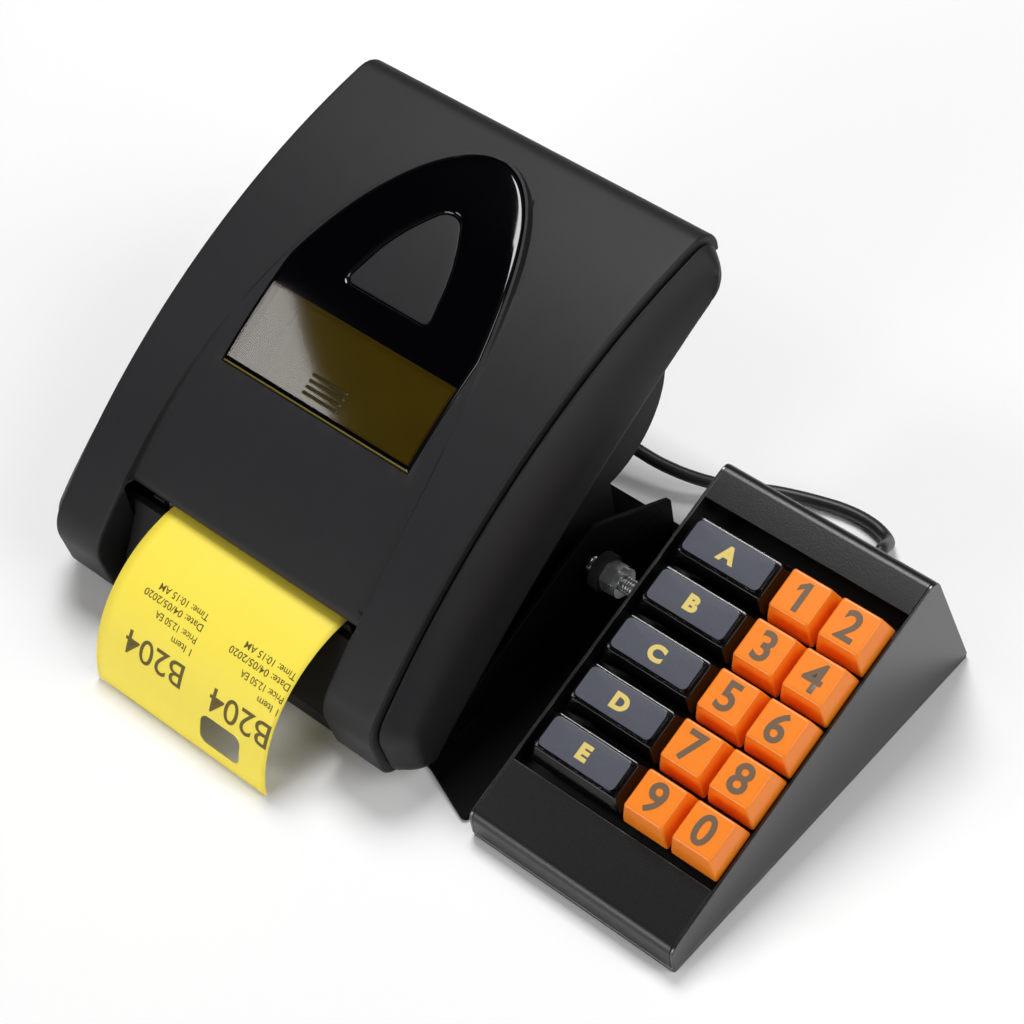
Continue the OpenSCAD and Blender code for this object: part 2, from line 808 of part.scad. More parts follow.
module paper_roll() {
    color(paper_yellow) in_printer() translate([paper_x, roll_y, roll_z]) rotate([0, 90, 0]) difference() {
        cylinder(r = roll_r, h = paper_w, center = true, $fn = 96);
        cylinder(r = core_r, h = paper_w + 2, center = true);
    }
}

core_t = 1.5;

module roll_core() {
    color([0.72, 0.6, 0.44]) in_printer() along_x(paper_w, paper_x) translate(roll_c) difference() {
        circle(r = core_r);
        circle(r = core_r - core_t);
    }
}

module roll_spindle() {
    color(gear_white) in_printer() translate([paper_x, roll_y, roll_z]) rotate([0, 90, 0]) {
        cylinder(r = core_r - core_t, h = paper_w, center = true);
        cylinder(r = journal_r, h = 2 * (rib_in + rib_t), center = true);
    }
}

// Paper path in side view, from the ticket's end to the roll
hang_c = [hang_y, paper_z - hang_r];
wrap_r = roll_r + air + paper_t / 2;
rise_r = 12;
rise_y = platen_y + platen_r + 1;
rise_c = [rise_y, paper_z + rise_r];
rise_dir = roll_c - rise_c;
rise_a = atan2(rise_dir.y, rise_dir.x) + asin((wrap_r + rise_r) / norm(rise_dir));
path_out = [for (a = [180 - hang_end : -hang_step : 91]) hang_c + hang_r * [cos(a), sin(a)]];
path_in = [for (k = [0 : 4]) rise_c + rise_r * [sin(rise_a * k / 4), -cos(rise_a * k / 4)]];
path_roll = roll_c + wrap_r * [-sin(rise_a), cos(rise_a)];
paper_path = concat(path_out, [[hang_c.x, paper_z]], path_in, [path_roll]);

// Both faces of a thin strip that follows a path
function strip_side(path, d) = [for (i = [0 : len(path) - 1])
    let (t = unit(path[min(i + 1, len(path) - 1)] - path[max(i - 1, 0)])) path[i] + d * [-t.y, t.x]];

// Place of the punched hole on the hanging part of the ticket
hole_in = 5.5;
hole_off = 19;
hole_x = paper_x + hole_off;
hole_z = ticket_end_z + hole_h / 2 + hole_in;

module ticket() {
    upper = strip_side(paper_path, paper_t / 2);
    lower = strip_side(paper_path, -paper_t / 2);
    color(paper_yellow) in_printer() difference() {
        along_x(paper_w, paper_x) polygon(concat(upper, [for (i = [len(lower) - 1 : -1 : 0]) lower[i]]));
        translate([hole_x, 0, hole_z]) rotate([90, 0, 0])
            linear_extrude(reach) polygon(rounded(rect(hole_w, hole_h), [3, 3, 3, 3]));
    }
}

module main_board() {
    top_z = board_z + pcb_t - eps;
    color(board_green) in_printer() {
        translate([-board_w / 2, board_y[0], board_z]) cube([board_w, board_y[1] - board_y[0], pcb_t]);
        translate([-20, board_y[0] + 7, top_z]) cube([22, 22, 3]);
        translate([20, board_y[0] + 6, top_z]) cylinder(r = 5, h = 9);
    }
}

module power_inlet() {
    depth = 12;
    hole_d = 9;
    color(gloss_black) in_printer()
    translate([inlet_x, ped_l, rear_port_z + inlet_w / 2]) rotate([90, 0, 0]) {
        difference() {
            translate([0, 0, depth / 2]) cube([inlet_w, inlet_w, depth], center = true);
            translate([0, 0, -eps]) cylinder(r = 3.2, h = hole_d);
        }
        cylinder(r = 1, h = hole_d + eps);
    }
}

plug_w = 9;
plug_h = 7;
plug_in = 7;

module keypad_port() {
    depth = 13;
    color(satin_black) in_printer()
    translate([port_x, ped_l - depth / 2, rear_port_z + port_h / 2]) difference() {
        cube([port_w, depth, port_h], center = true);
        translate([0, (depth - plug_in) / 2, 0])
            cube([plug_w + 2 * slip, plug_in + 1, plug_h + 2 * slip], center = true);
    }
}

module power_switch() {
    pivot = [ped_l - switch_in, switch_z];
    tip = switch_in + 2;
    color(gloss_black) in_printer() {
        along_x(switch_w, switch_x) translate(pivot) rotate(switch_tilt)
            polygon([[-2.5, -2], [2, -5], [tip, -5], [tip - 1.3, 0], [tip, 5], [2, 5], [-2.5, 2]]);
        along_x(switch_w + 2 * air + 5, switch_x) translate(pivot) circle(r = switch_pin_r);
    }
}

// Steel bracket under the printer, with the flange that the keypad is bolted to
flange_x = printer_w / 2 - 4;
flange_front = 28;
flange_peak = 102;
flange_back_z = 14.5;
bolt_y = 99;
bolt_z = 21;
plate_right = printer_w / 2 + side_gap - 4.5;
plate_front = 16;

module mounting_bracket() {
    color(satin_black) in_printer() {
        linear_extrude(bracket_t) polygon(rounded([[-body_w / 2 + 6, plate_front], [flange_x, plate_front],
            [plate_right, kp_setback + 1], [plate_right, bolt_y + 16], [flange_x + 4, bracket_back],
            [-body_w / 2 + 6, bracket_back]], [4, 6, 2, 6, 2, 4]));
        along_x(bracket_t, flange_x - bracket_t / 2) difference() {
            polygon(rounded([[flange_front, bracket_t - eps], [bracket_back - 0.5, bracket_t - eps],
                [bracket_back - 0.5, flange_back_z], [flange_peak, flange_h], [flange_front + 6, 13]],
                [0, 0, 2, 4, 3]));
            translate([bolt_y, bolt_z]) circle(r = bolt_r);
        }
    }
}

bolt_head = 4;
nut_h = 5;
collar_x = flange_x + 4;
collar_t = 3.6;
bolt_in = printer_w / 2 + side_gap + kp_t + 7;

module along_bolt(x) {
    in_printer() translate([x, bolt_y, bolt_z]) rotate([0, 90, 0]) children();
}

module clamp_bolt() {
    color(zinc) {
        along_bolt(flange_x - bracket_t - bolt_head) cylinder(r = 1.85 * bolt_r, h = bolt_head, $fn = 6);
        along_bolt(flange_x - bracket_t - eps) cylinder(r = bolt_r, h = bolt_in - flange_x + bracket_t);
    }
}

module nut(h) {
    difference() {
        cylinder(r = 1.85 * bolt_r, h = h, $fn = 6);
        translate([0, 0, -1]) cylinder(r = bolt_r, h = h + 2);
    }
}

module washer(r, h) {
    difference() {
        cylinder(r = r, h = h);
        translate([0, 0, -1]) cylinder(r = bolt_r, h = h + 2);
    }
}

module bolt_collar() {
    color(rubber_black) along_bolt(collar_x) washer(2.3 * bolt_r, collar_t);
}

module bolt_nuts() {
    wall_x = printer_w / 2 + side_gap;
    color(zinc) {
        along_bolt(collar_x + collar_t) nut(nut_h);
        along_bolt(collar_x + collar_t + nut_h) washer(1.8 * bolt_r, 1.8);
        along_bolt(wall_x - 1.2) washer(2.2 * bolt_r, 1.2);
        along_bolt(wall_x + kp_t) nut(nut_h);
    }
}

// Keypad in its own side view: x runs back from the front wall, y is the height
base_t = 1.6;
rows = 5;
bay_l = rows * key_pitch + bay_end;
kp_top_y = (strip_front + bay_l + strip_back) * cos(kp_slope);
kp_d = kp_top_y + back_run;
kp_top = [kp_top_y, kp_front_h + kp_top_y * tan(kp_slope)];
kp_outline = [[0, base_t], [kp_d, base_t], kp_top, [0, kp_front_h]];
kp_in_w = kp_w - 2 * kp_t;

module in_keypad() {
    translate([kp_x, kp_y, 0]) children();
}

// Frame of the key surface: y runs up the slope from the front fold, z stands out of it
module on_slope() {
    in_keypad() translate([0, 0, kp_front_h]) rotate([kp_slope, 0, 0]) children();
}

module kp_shell() {
    difference() {
        polygon(rounded(kp_outline, [0, 0, kp_bend_r, kp_bend_r]));
        polygon(rounded(inset_outline(kp_outline, kp_t), [0, 0, kp_bend_r - kp_t, kp_bend_r - kp_t]));
        translate([kp_d / 2, base_t]) square([kp_d - 4 * kp_t, 2 * kp_t], center = true);
    }
}

// Half of the side view in front of, or behind, a line square to the slope
module slope_half(s, side) {
    translate([0, kp_front_h]) rotate(kp_slope) translate([side < 0 ? s - 2 * kp_d : s, -2 * kp_d])
        square([2 * kp_d, 4 * kp_d]);
}

module wall_feet() {
    translate([-1, base_t]) square([kp_d + 2, kp_d]);
}

module keypad_front_panel() {
    color(satin_black) in_keypad() along_x(kp_in_w) intersection() {
        kp_shell();
        slope_half(strip_front, -1);
        wall_feet();
    }
}

gland_x = -0.2;
gland_z = 10;
gland_r = cable_d / 2 + 2;
back_lean = atan2(kp_d - kp_top_y, kp_top.y - base_t);
gland_y = kp_d - (gland_z - base_t) * tan(back_lean);

module keypad_rear_panel() {
    color(satin_black) in_keypad() difference() {
        along_x(kp_in_w) intersection() {
            kp_shell();
            slope_half(strip_front + bay_l, 1);
            wall_feet();
        }
        translate([gland_x, gland_y, gland_z]) rotate([-90 + back_lean, 0, 0])
            cylinder(r = gland_r - 1, h = 8 * kp_t, center = true);
    }
}

module keypad_wall(s) {
    color(satin_black) in_keypad() along_x(kp_t, s * (kp_w - kp_t) / 2) difference() {
        intersection() {
            polygon(rounded(kp_outline, [0, 0, kp_bend_r, kp_bend_r]));
            wall_feet();
        }
        if (s < 0) translate([bolt_y - kp_setback, bolt_z]) circle(r = bolt_r);
    }
}

module keypad_left_wall() {
    keypad_wall(-1);
}

module keypad_right_wall() {
    keypad_wall(1);
}

module keypad_floor() {
    color(satin_black) in_keypad() translate([0, kp_d / 2, 0]) linear_extrude(base_t)
        polygon(rounded(rect(kp_w, kp_d), [1, 1, 1, 1]));
}

// Keys: rows run up the slope, two columns of number keys and one of label keys
plate_t = 1.5;
digits = ["1", "2", "3", "4", "5", "6", "7", "8", "9", "0"];
letters = ["a", "b", "c", "d", "e"];
cap_z = -1.4;
col_right = kp_w / 2 - kp_t - key_wall_gap - key_w / 2;
row_in = 5.475;
top_row = strip_front + bay_l - row_in - key_pitch / 2;
label_w = 2 * key_pitch - (key_pitch - key_w);

function row_s(r) = top_row - r * key_pitch;
function digit_at(i) = [col_right - (1 - i % 2) * key_pitch, row_s(floor(i / 2))];
function label_at(i) = [col_right - 2.5 * key_pitch, row_s(i)];
key_places = concat([for (i = [0 : len(digits) - 1]) digit_at(i)], [for (i = [0 : rows - 1]) label_at(i)]);

// Switches in the plate: lower body, bevelled upper body and the bore for the stem
switch_hole = 14;
switch_body = 13.8;
switch_deep = 3.5;
switch_top = 6;
stem_r = 2.75;

module key_plate() {
    color(satin_black) on_slope() translate([0, 0, -plate_drop - plate_t]) difference() {
        translate([-kp_in_w / 2, strip_front - 4, 0]) cube([kp_in_w, bay_l + 6, plate_t]);
        for (p = key_places) translate([p.x, p.y, plate_t / 2])
            cube([switch_hole, switch_hole, plate_t + 2], center = true);
    }
}

module key_switch() {
    foot = 15.6;
    roof = 11;
    side = [[-foot / 2, 0], [foot / 2, 0], [foot / 2, 1], [roof / 2, switch_top], [-roof / 2, switch_top],
        [-foot / 2, 1]];
    difference() {
        union() {
            translate([-switch_body / 2, -switch_body / 2, -plate_t - switch_deep])
                cube([switch_body, switch_body, plate_t + switch_deep + eps]);
            intersection() {
                along_x(foot + 1) polygon(side);
                rotate([0, 0, 90]) along_x(foot + 1) polygon(side);
            }
        }
        translate([0, 0, switch_top - 8.5]) cylinder(r = stem_r + 0.1, h = 9);
    }
}

module key_switches() {
    color([0.2, 0.2, 0.21]) on_slope() for (p = key_places) translate([p.x, p.y, -plate_drop]) key_switch();
}

module keypad_board() {
    color(board_green) on_slope()
        translate([-kp_in_w / 2 + 4, strip_front, -plate_drop - plate_t - switch_deep - pcb_t])
            cube([kp_in_w - 5, bay_l - 2, pcb_t]);
}

// Tapered block with planar sides
module frustum(w, d, top_w, top_d, h) {
    intersection() {
        along_x(w + 2) polygon([[-d / 2, 0], [d / 2, 0], [top_d / 2, h], [-top_d / 2, h]]);
        rotate([0, 0, 90]) along_x(d + 2)
            polygon([[-w / 2, 0], [w / 2, 0], [top_w / 2, h], [-top_w / 2, h]]);
    }
}

cap_r = 1.5;

module cap_shell(w, d, top_w, top_d, h) {
    skin = 1.3;
    stem_z = switch_top - 3 - plate_drop - cap_z;
    difference() {
        intersection() {
            frustum(w, d, top_w, top_d, h);
            translate([0, 0, -1]) linear_extrude(h + 2)
                polygon(rounded(rect(w, d), [cap_r, cap_r, cap_r, cap_r]));
        }
        translate([0, 0, -eps])
            frustum(w - 2 * skin, d - 2 * skin, top_w - 2 * skin, top_d - 2 * skin, h - skin);
    }
    translate([0, 0, stem_z]) cylinder(r = stem_r, h = h - skin - stem_z + eps);
}

module number_key(i) {
    p = digit_at(i);
    color(key_orange) on_slope() translate([p.x, p.y, cap_z])
        cap_shell(key_w, key_w, key_top_w, key_top_d, key_h);
}

label_top_w = label_w - 3.6;
label_top_d = key_top_d - 2;

module label_base(i) {
    p = label_at(i);
    color(satin_black) on_slope() translate([p.x, p.y, cap_z])
        cap_shell(label_w, key_w, label_top_w, label_top_d, key_h - label_t);
}

module label_cap(i) {
    p = label_at(i);
    color([0.35, 0.36, 0.4]) on_slope() translate([p.x, p.y, cap_z + key_h - label_t])
        intersection() {
            frustum(label_top_w, label_top_d, label_top_w - 1, label_top_d - 1, label_t);
            translate([0, 0, -1]) linear_extrude(label_t + 2)
                polygon(rounded(rect(label_top_w, label_top_d), [cap_r, cap_r, cap_r, cap_r]));
        }
}

// Keypad cable: chosen points from the printer's rear port to the gland, on the counter between them
plug_y = nose_y + ped_l;
plug_z = rear_port_z + port_h / 2;
plug_out = 7;
relief_l = 6;
gland_out = 7;
gland_bore = 2;
cable_start = [printer_x + port_x, plug_y + plug_out + relief_l, plug_z];
gland_dir = [0, cos(back_lean), sin(back_lean)];
cable_end = [kp_x + gland_x, kp_y + gland_y, gland_z] + gland_dir * gland_out;
from_plug = [[0, 0, 0], [0, 1.5, 0], [0.3, 4.5, 0], [3.2, 9, -0.4], [9.2, 12.4, -1.4], [18.2, 13.8, -3.4],
    [28.2, 14.4, -5.6], [39.2, 15.4, -7.8], [49.2, 18, -10]];
to_gland = [[-66.8, 0.5, -6], [-57.8, 6, -7.8], [-48.8, 11.5, -8.9], [-36.8, 16, -9.2], [-24.8, 19, -9.2],
    [-13.8, 19, -8.9], [-5.3, 15.5, -7.6]];
cable_route = concat([for (p = from_plug) cable_start + p], [for (p = to_gland) cable_end + p],
    [cable_end + gland_dir * 7 + [-0.7, 0, -0.9], cable_end + gland_dir * 3, cable_end + gland_dir,
    cable_end - gland_dir * (gland_bore - slip)]);

function route_point(p, i, t) = let (n = len(p) - 1, a = p[max(i - 1, 0)], b = p[i], c = p[min(i + 1, n)],
    d = p[min(i + 2, n)])
    0.5 * ((2 * b) + (c - a) * t + (2 * a - 5 * b + 4 * c - d) * pow(t, 2)
        + (3 * b - a - 3 * c + d) * pow(t, 3));

function smooth(p, k) = concat(
    [for (i = [0 : len(p) - 2], j = [0 : k - 1]) route_point(p, i, j / k)], [p[len(p) - 1]]);

// Round tube that follows a route
module tube(route, r, sides) {
    n = len(route);
    ring = [for (i = [0 : n - 1])
        let (t = unit(route[min(i + 1, n - 1)] - route[max(i - 1, 0)]),
            s = unit(cross(t, [0, 0, 1])), u = cross(s, t))
        each [for (k = [0 : sides - 1])
            route[i] + r * (cos(360 * k / sides) * s + sin(360 * k / sides) * u)]];
    polyhedron(ring, concat(
        [[for (k = [sides - 1 : -1 : 0]) k]],
        [for (i = [0 : n - 2], k = [0 : sides - 1])
            each let (a = i * sides + k, b = i * sides + (k + 1) % sides)
            [[a, b, b + sides], [a, b + sides, a + sides]]],
        [[for (k = [0 : sides - 1]) (n - 1) * sides + k]]));
}

module keypad_cable() {
    color(rubber_black) tube(smooth(cable_route, 2), cable_d / 2, 10);
}

module cable_plug() {
    color(satin_black) translate([printer_x + port_x, plug_y, plug_z]) rotate([-90, 0, 0]) {
        translate([0, 0, -plug_in / 2 + slip]) cube([plug_w, plug_h, plug_in], center = true);
        translate([0, 0, plug_out / 2]) cube([plug_w + 3, plug_h + 3, plug_out], center = true);
        translate([0, 0, plug_out - eps])
            cylinder(r1 = cable_d / 2 + 1.6, r2 = cable_d / 2 + 0.6, h = relief_l + eps);
    }
}

module cable_gland() {
    color(rubber_black) in_keypad() translate([gland_x, gland_y, gland_z]) rotate([-90 + back_lean, 0, 0]) {
        translate([0, 0, -kp_t - 2]) cylinder(r = gland_r - 1, h = kp_t + 3);
        difference() {
            cylinder(r1 = gland_r + 1, r2 = cable_d / 2 + 1.2, h = gland_out);
            translate([0, 0, gland_out - gland_bore]) cylinder(r = cable_d / 2 + slip, h = gland_bore + 1);
        }
        translate([0, 0, -kp_t - 3]) cylinder(r = gland_r + 0.5, h = 2);
    }
}

mounting_bracket();
clamp_bolt();
bolt_collar();
bolt_nuts();
base_housing();
left_cheek();
right_cheek();
printer_feet();
mech_frame();
hinge_pin();
top_cover();
window_lens();
head_bracket();
print_head();
tear_bar();
platen_roller();
platen_shaft();
platen_gear();
idler_gear();
stepper_motor();
motor_pinion();
paper_roll();
roll_core();
roll_spindle();
ticket();
main_board();
power_inlet();
keypad_port();
power_switch();
keypad_front_panel();
keypad_rear_panel();
keypad_left_wall();
keypad_right_wall();
keypad_floor();
key_plate();
key_switches();
keypad_board();
for (i = [0 : len(digits) - 1]) number_key(i);
for (i = [0 : rows - 1]) label_base(i);
for (i = [0 : rows - 1]) label_cap(i);
cable_gland();
cable_plug();
keypad_cable();
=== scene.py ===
"""Studio model of a counter-top queue ticket printer with its keypad.

Each sub-assembly class keeps the sizes of its pieces in millimetres, computes their
surfaces as numpy grids and gives them procedural finishes. Every piece stands in the
part's own frame, in metres, with the counter at z = 0.
"""

import logging
import math
from dataclasses import dataclass
from enum import Enum
from typing import ClassVar

import bmesh
import bpy
import numpy as np
from mathutils import Matrix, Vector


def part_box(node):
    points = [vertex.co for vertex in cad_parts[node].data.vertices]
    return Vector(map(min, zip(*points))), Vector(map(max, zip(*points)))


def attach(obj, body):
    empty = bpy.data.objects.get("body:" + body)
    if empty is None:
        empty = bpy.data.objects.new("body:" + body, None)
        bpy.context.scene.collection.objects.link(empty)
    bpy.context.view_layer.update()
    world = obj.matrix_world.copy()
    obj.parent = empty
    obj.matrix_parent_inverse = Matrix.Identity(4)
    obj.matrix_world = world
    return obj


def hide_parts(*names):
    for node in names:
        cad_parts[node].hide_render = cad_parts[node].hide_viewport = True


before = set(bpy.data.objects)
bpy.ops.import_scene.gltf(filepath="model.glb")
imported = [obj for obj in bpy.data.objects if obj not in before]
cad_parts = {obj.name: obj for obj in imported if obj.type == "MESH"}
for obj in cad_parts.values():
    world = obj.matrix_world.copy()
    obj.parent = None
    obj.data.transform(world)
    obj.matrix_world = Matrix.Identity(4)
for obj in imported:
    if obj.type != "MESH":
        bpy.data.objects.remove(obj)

LOG = logging.getLogger("ticket_printer")
Array = np.ndarray
MM = 0.001

# Places in the part's frame and sizes of the paper roll, in mm
PRINTER_X = -53.25
NOSE_Y = -78.02085
KEYPAD_X = 95.0
KEYPAD_Y = -72.02085
ROLL_Y = 122.0
ROLL_Z = 64.0525
ROLL_R = 28.0025

# Limits of the mesh work in metres, and angles in radians
WELD = 1e-6
CAD_WELD = 2e-6
SLIVER = 1e-7
SHARP = math.radians(42.0)
FULL_TURN = 2.0 * math.pi
HALF_TURN = math.pi
QUARTER_TURN = 0.5 * math.pi

# Height of a capital as a share of the font's size
CAPITAL_SHARE = 0.69


class Body(Enum):
    """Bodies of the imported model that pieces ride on."""

    BASE = "base"
    COVER = "cover"


class Pattern(Enum):
    """How a finish varies over the surface."""

    GRAIN = "grain"
    RINGS = "rings"
    FIBRE = "fibre"


@dataclass(frozen=True)
class Finish:
    """A procedural material, made once and shared.

    Args:
        name: Name of the material.
        color: Linear base colour.
        tint: Second linear colour, mixed in by the mottle noise.
        roughness: Middle roughness; it varies by a tenth of itself.
        metallic: 1 for bare metal.
        specular: Specular level of the base.
        alpha: Share of the surface that hides what is behind it.
        grain: Size of the surface grain in mm.
        depth: Depth of the grain in mm.
        mottle: Size of the colour patches in mm.
        pattern: How colour and grain are laid.
    """

    ROUGH_SWING: ClassVar[float] = 0.1
    GRAIN_STRENGTH: ClassVar[float] = 0.7
    FIBRE_SCALE: ClassVar[tuple[float, float, float]] = (1.0, 0.18, 0.18)
    RING_SCALE: ClassVar[float] = 240.0
    RING_WAVER: ClassVar[float] = 1.5
    MIX_FIRST: ClassVar[int] = 6
    MIX_SECOND: ClassVar[int] = 7
    MIX_RESULT: ClassVar[int] = 2

    name: str
    color: tuple[float, float, float]
    tint: tuple[float, float, float]
    roughness: float = 0.5
    metallic: float = 0.0
    specular: float = 0.5
    alpha: float = 1.0
    grain: float = 0.5
    depth: float = 0.02
    mottle: float = 14.0
    pattern: Pattern = Pattern.GRAIN

    def material(self) -> bpy.types.Material:
        """Makes or fetches the material.

        Returns:
            The material with its node tree filled.
        """
        label = f"finish_{self.name}"
        found = bpy.data.materials.get(label)
        if found:
            return found
        made = bpy.data.materials.new(label)
        made.use_nodes = True
        tree = made.node_tree
        shader = tree.nodes["Principled BSDF"]
        for socket, value in (
            ("Metallic", self.metallic),
            ("Specular IOR Level", self.specular),
            ("Alpha", self.alpha),
        ):
            shader.inputs[socket].default_value = value
        place = tree.nodes.new("ShaderNodeTexCoord").outputs["Object"]
        if self.pattern is Pattern.RINGS:
            patches = self._rings(tree, place)
        elif self.pattern is Pattern.FIBRE:
            stretch = tree.nodes.new("ShaderNodeMapping")
            stretch.inputs["Scale"].default_value = self.FIBRE_SCALE
            tree.links.new(place, stretch.inputs["Vector"])
            patches = self._noise(tree, stretch.outputs["Vector"], self.mottle, 5.0)
        else:
            patches = self._noise(tree, place, self.mottle, 3.0)
        blend = tree.nodes.new("ShaderNodeMix")
        blend.data_type = "RGBA"
        blend.inputs[self.MIX_FIRST].default_value = (*self.color, 1.0)
        blend.inputs[self.MIX_SECOND].default_value = (*self.tint, 1.0)
        tree.links.new(patches, blend.inputs[0])
        tree.links.new(blend.outputs[self.MIX_RESULT], shader.inputs["Base Color"])
        grain = self._noise(tree, place, self.grain, 2.0)
        spread = tree.nodes.new("ShaderNodeMapRange")
        spread.inputs["To Min"].default_value = self.roughness * (1.0 - self.ROUGH_SWING)
        spread.inputs["To Max"].default_value = self.roughness * (1.0 + self.ROUGH_SWING)
        tree.links.new(grain, spread.inputs["Value"])
        tree.links.new(spread.outputs["Result"], shader.inputs["Roughness"])
        bump = tree.nodes.new("ShaderNodeBump")
        bump.inputs["Strength"].default_value = self.GRAIN_STRENGTH
        bump.inputs["Distance"].default_value = self.depth * MM
        tree.links.new(grain, bump.inputs["Height"])
        tree.links.new(bump.outputs["Normal"], shader.inputs["Normal"])
        return made

    @staticmethod
    def _noise(tree: bpy.types.NodeTree, place: bpy.types.NodeSocket, size: float,
               detail: float) -> bpy.types.NodeSocket:
        """Adds a noise of a given feature size in mm and returns its factor."""
        noise = tree.nodes.new("ShaderNodeTexNoise")
        noise.inputs["Scale"].default_value = 1.0 / (size * MM)
        noise.inputs["Detail"].default_value = detail
        noise.inputs["Roughness"].default_value = 0.6
        tree.links.new(place, noise.inputs["Vector"])
        return noise.outputs["Fac"]

    def _rings(self, tree: bpy.types.NodeTree, place: bpy.types.NodeSocket) -> bpy.types.NodeSocket:
        """Adds fine rings about the roll's axis and returns their factor."""
        shift = tree.nodes.new("ShaderNodeMapping")
        shift.inputs["Location"].default_value = (0.0, -(NOSE_Y + ROLL_Y) * MM, -ROLL_Z * MM)
        tree.links.new(place, shift.inputs["Vector"])
        rings = tree.nodes.new("ShaderNodeTexWave")
        rings.wave_type = "RINGS"
        rings.rings_direction = "X"
        rings.inputs["Scale"].default_value = self.RING_SCALE
        rings.inputs["Distortion"].default_value = self.RING_WAVER
        tree.links.new(shift.outputs["Vector"], rings.inputs["Vector"])
        return rings.outputs["Fac"]


CHARCOAL = Finish("charcoal_moulding", (0.0105, 0.0100, 0.0115), (0.0140, 0.0134, 0.0150), 0.52,
                  specular=0.27, grain=0.35, depth=0.03, mottle=9.0)
BODY_BLACK = Finish("housing_moulding", (0.006, 0.006, 0.007), (0.009, 0.009, 0.010), 0.6,
                    specular=0.3, grain=0.4, depth=0.03)
GLOSS = Finish("window_gloss", (0.0008, 0.0008, 0.0016), (0.0012, 0.0012, 0.0020), 0.06,
               specular=0.5, grain=6.0, depth=0.002)
AMBER = Finish("window_amber", (0.050, 0.032, 0.002), (0.042, 0.026, 0.002), 0.05,
               specular=0.6, alpha=0.66, grain=6.0, depth=0.002)
AMBER_RIB = Finish("window_ribs", (0.030, 0.022, 0.006), (0.038, 0.028, 0.008), 0.10,
                   specular=0.6, grain=4.0, depth=0.003)
# Bright yellow-olive colour of the lens's lower edge: a painted glow that stands in for the roll's yellow
# light shining out through the edge
PAINTED_EDGE_GLOW = Finish("window_edge_painted_glow", (0.17, 0.13, 0.006), (0.13, 0.10, 0.005), 0.24,
                    specular=0.6, grain=4.0, depth=0.004)
PAPER = Finish("ticket_paper", (0.95, 0.78, 0.080), (0.92, 0.74, 0.070), 0.5,
               specular=0.35, grain=0.3, depth=0.006, mottle=3.0, pattern=Pattern.FIBRE)
ROLL_PAPER = Finish("roll_paper", (0.80, 0.60, 0.05), (0.58, 0.41, 0.03), 0.6,
                    specular=0.3, grain=0.3, depth=0.01, pattern=Pattern.RINGS)
INK = Finish("thermal_ink", (0.110, 0.080, 0.014), (0.150, 0.110, 0.020), 0.6,
             specular=0.3, grain=0.25, depth=0.003, mottle=0.6)
ORANGE = Finish("key_orange", (0.95, 0.245, 0.014), (0.90, 0.220, 0.012), 0.34,
                specular=0.5, grain=0.5, depth=0.006, mottle=6.0)
LEGEND = Finish("key_legend", (0.150, 0.098, 0.060), (0.175, 0.115, 0.070), 0.4,
                specular=0.4, grain=0.4, depth=0.004, mottle=2.0)
LABEL_BLACK = Finish("label_black", (0.0024, 0.0024, 0.0028), (0.0036, 0.0036, 0.0040), 0.16,
                     specular=0.5, grain=0.8, depth=0.004)
CLEAR = Finish("label_clear", (0.004, 0.004, 0.005), (0.006, 0.006, 0.007), 0.06,
               specular=0.6, alpha=0.10, grain=6.0, depth=0.002)
CARD = Finish("label_card", (0.075, 0.080, 0.105), (0.125, 0.130, 0.160), 0.6,
              specular=0.3, grain=0.5, depth=0.01, mottle=0.45)
CARD_INK = Finish("label_ink", (0.88, 0.70, 0.22), (0.84, 0.64, 0.18), 0.5,
                  specular=0.3, grain=0.5, depth=0.004, mottle=2.0)
COATED = Finish("powder_coat", (0.0065, 0.0062, 0.0062), (0.0100, 0.0096, 0.0096), 0.26,
                specular=1.0, grain=0.6, depth=0.05, mottle=1.2)
COATED_TOP = Finish("powder_coat_top", (0.0065, 0.0062, 0.0062), (0.0100, 0.0096, 0.0096), 0.33,
                    specular=0.45, grain=0.6, depth=0.05, mottle=1.2)
# Black coat of the bracket, made darker and duller than the coat alone: partly its real black, partly
# painted shade of the gap between printer and keypad
BRACKET_BLACK_AND_SHADE = Finish("bracket_black_and_shade", (0.0012, 0.0012, 0.0013), (0.0020, 0.0020, 0.0020), 0.6,
                 specular=0.08, grain=0.5, depth=0.02, mottle=2.0)
ZINC = Finish("zinc_plate", (0.78, 0.79, 0.80), (0.62, 0.63, 0.64), 0.24,
              metallic=0.85, grain=0.6, depth=0.01, mottle=4.0)
DARK_STEEL = Finish("dark_steel", (0.060, 0.058, 0.056), (0.090, 0.086, 0.082), 0.38,
                    metallic=0.8, grain=0.5, depth=0.02, mottle=3.0)
STEEL = Finish("bright_steel", (0.55, 0.55, 0.56), (0.46, 0.46, 0.47), 0.3,
               metallic=1.0, grain=0.4, depth=0.008, mottle=5.0)
RUBBER = Finish("black_rubber", (0.012, 0.012, 0.012), (0.020, 0.020, 0.020), 0.72,
                specular=0.25, grain=0.5, depth=0.03, mottle=5.0)
CABLE = Finish("cable_jacket", (0.010, 0.010, 0.011), (0.016, 0.016, 0.017), 0.42,
               specular=0.45, grain=0.5, depth=0.01, mottle=6.0)
ACETAL = Finish("gear_acetal", (0.016, 0.016, 0.017), (0.022, 0.022, 0.023), 0.45,
                specular=0.4, grain=0.6, depth=0.008, mottle=5.0)
CARDBOARD = Finish("core_board", (0.36, 0.25, 0.14), (0.42, 0.30, 0.18), 0.8,
                   specular=0.2, grain=0.4, depth=0.03, mottle=1.5, pattern=Pattern.FIBRE)
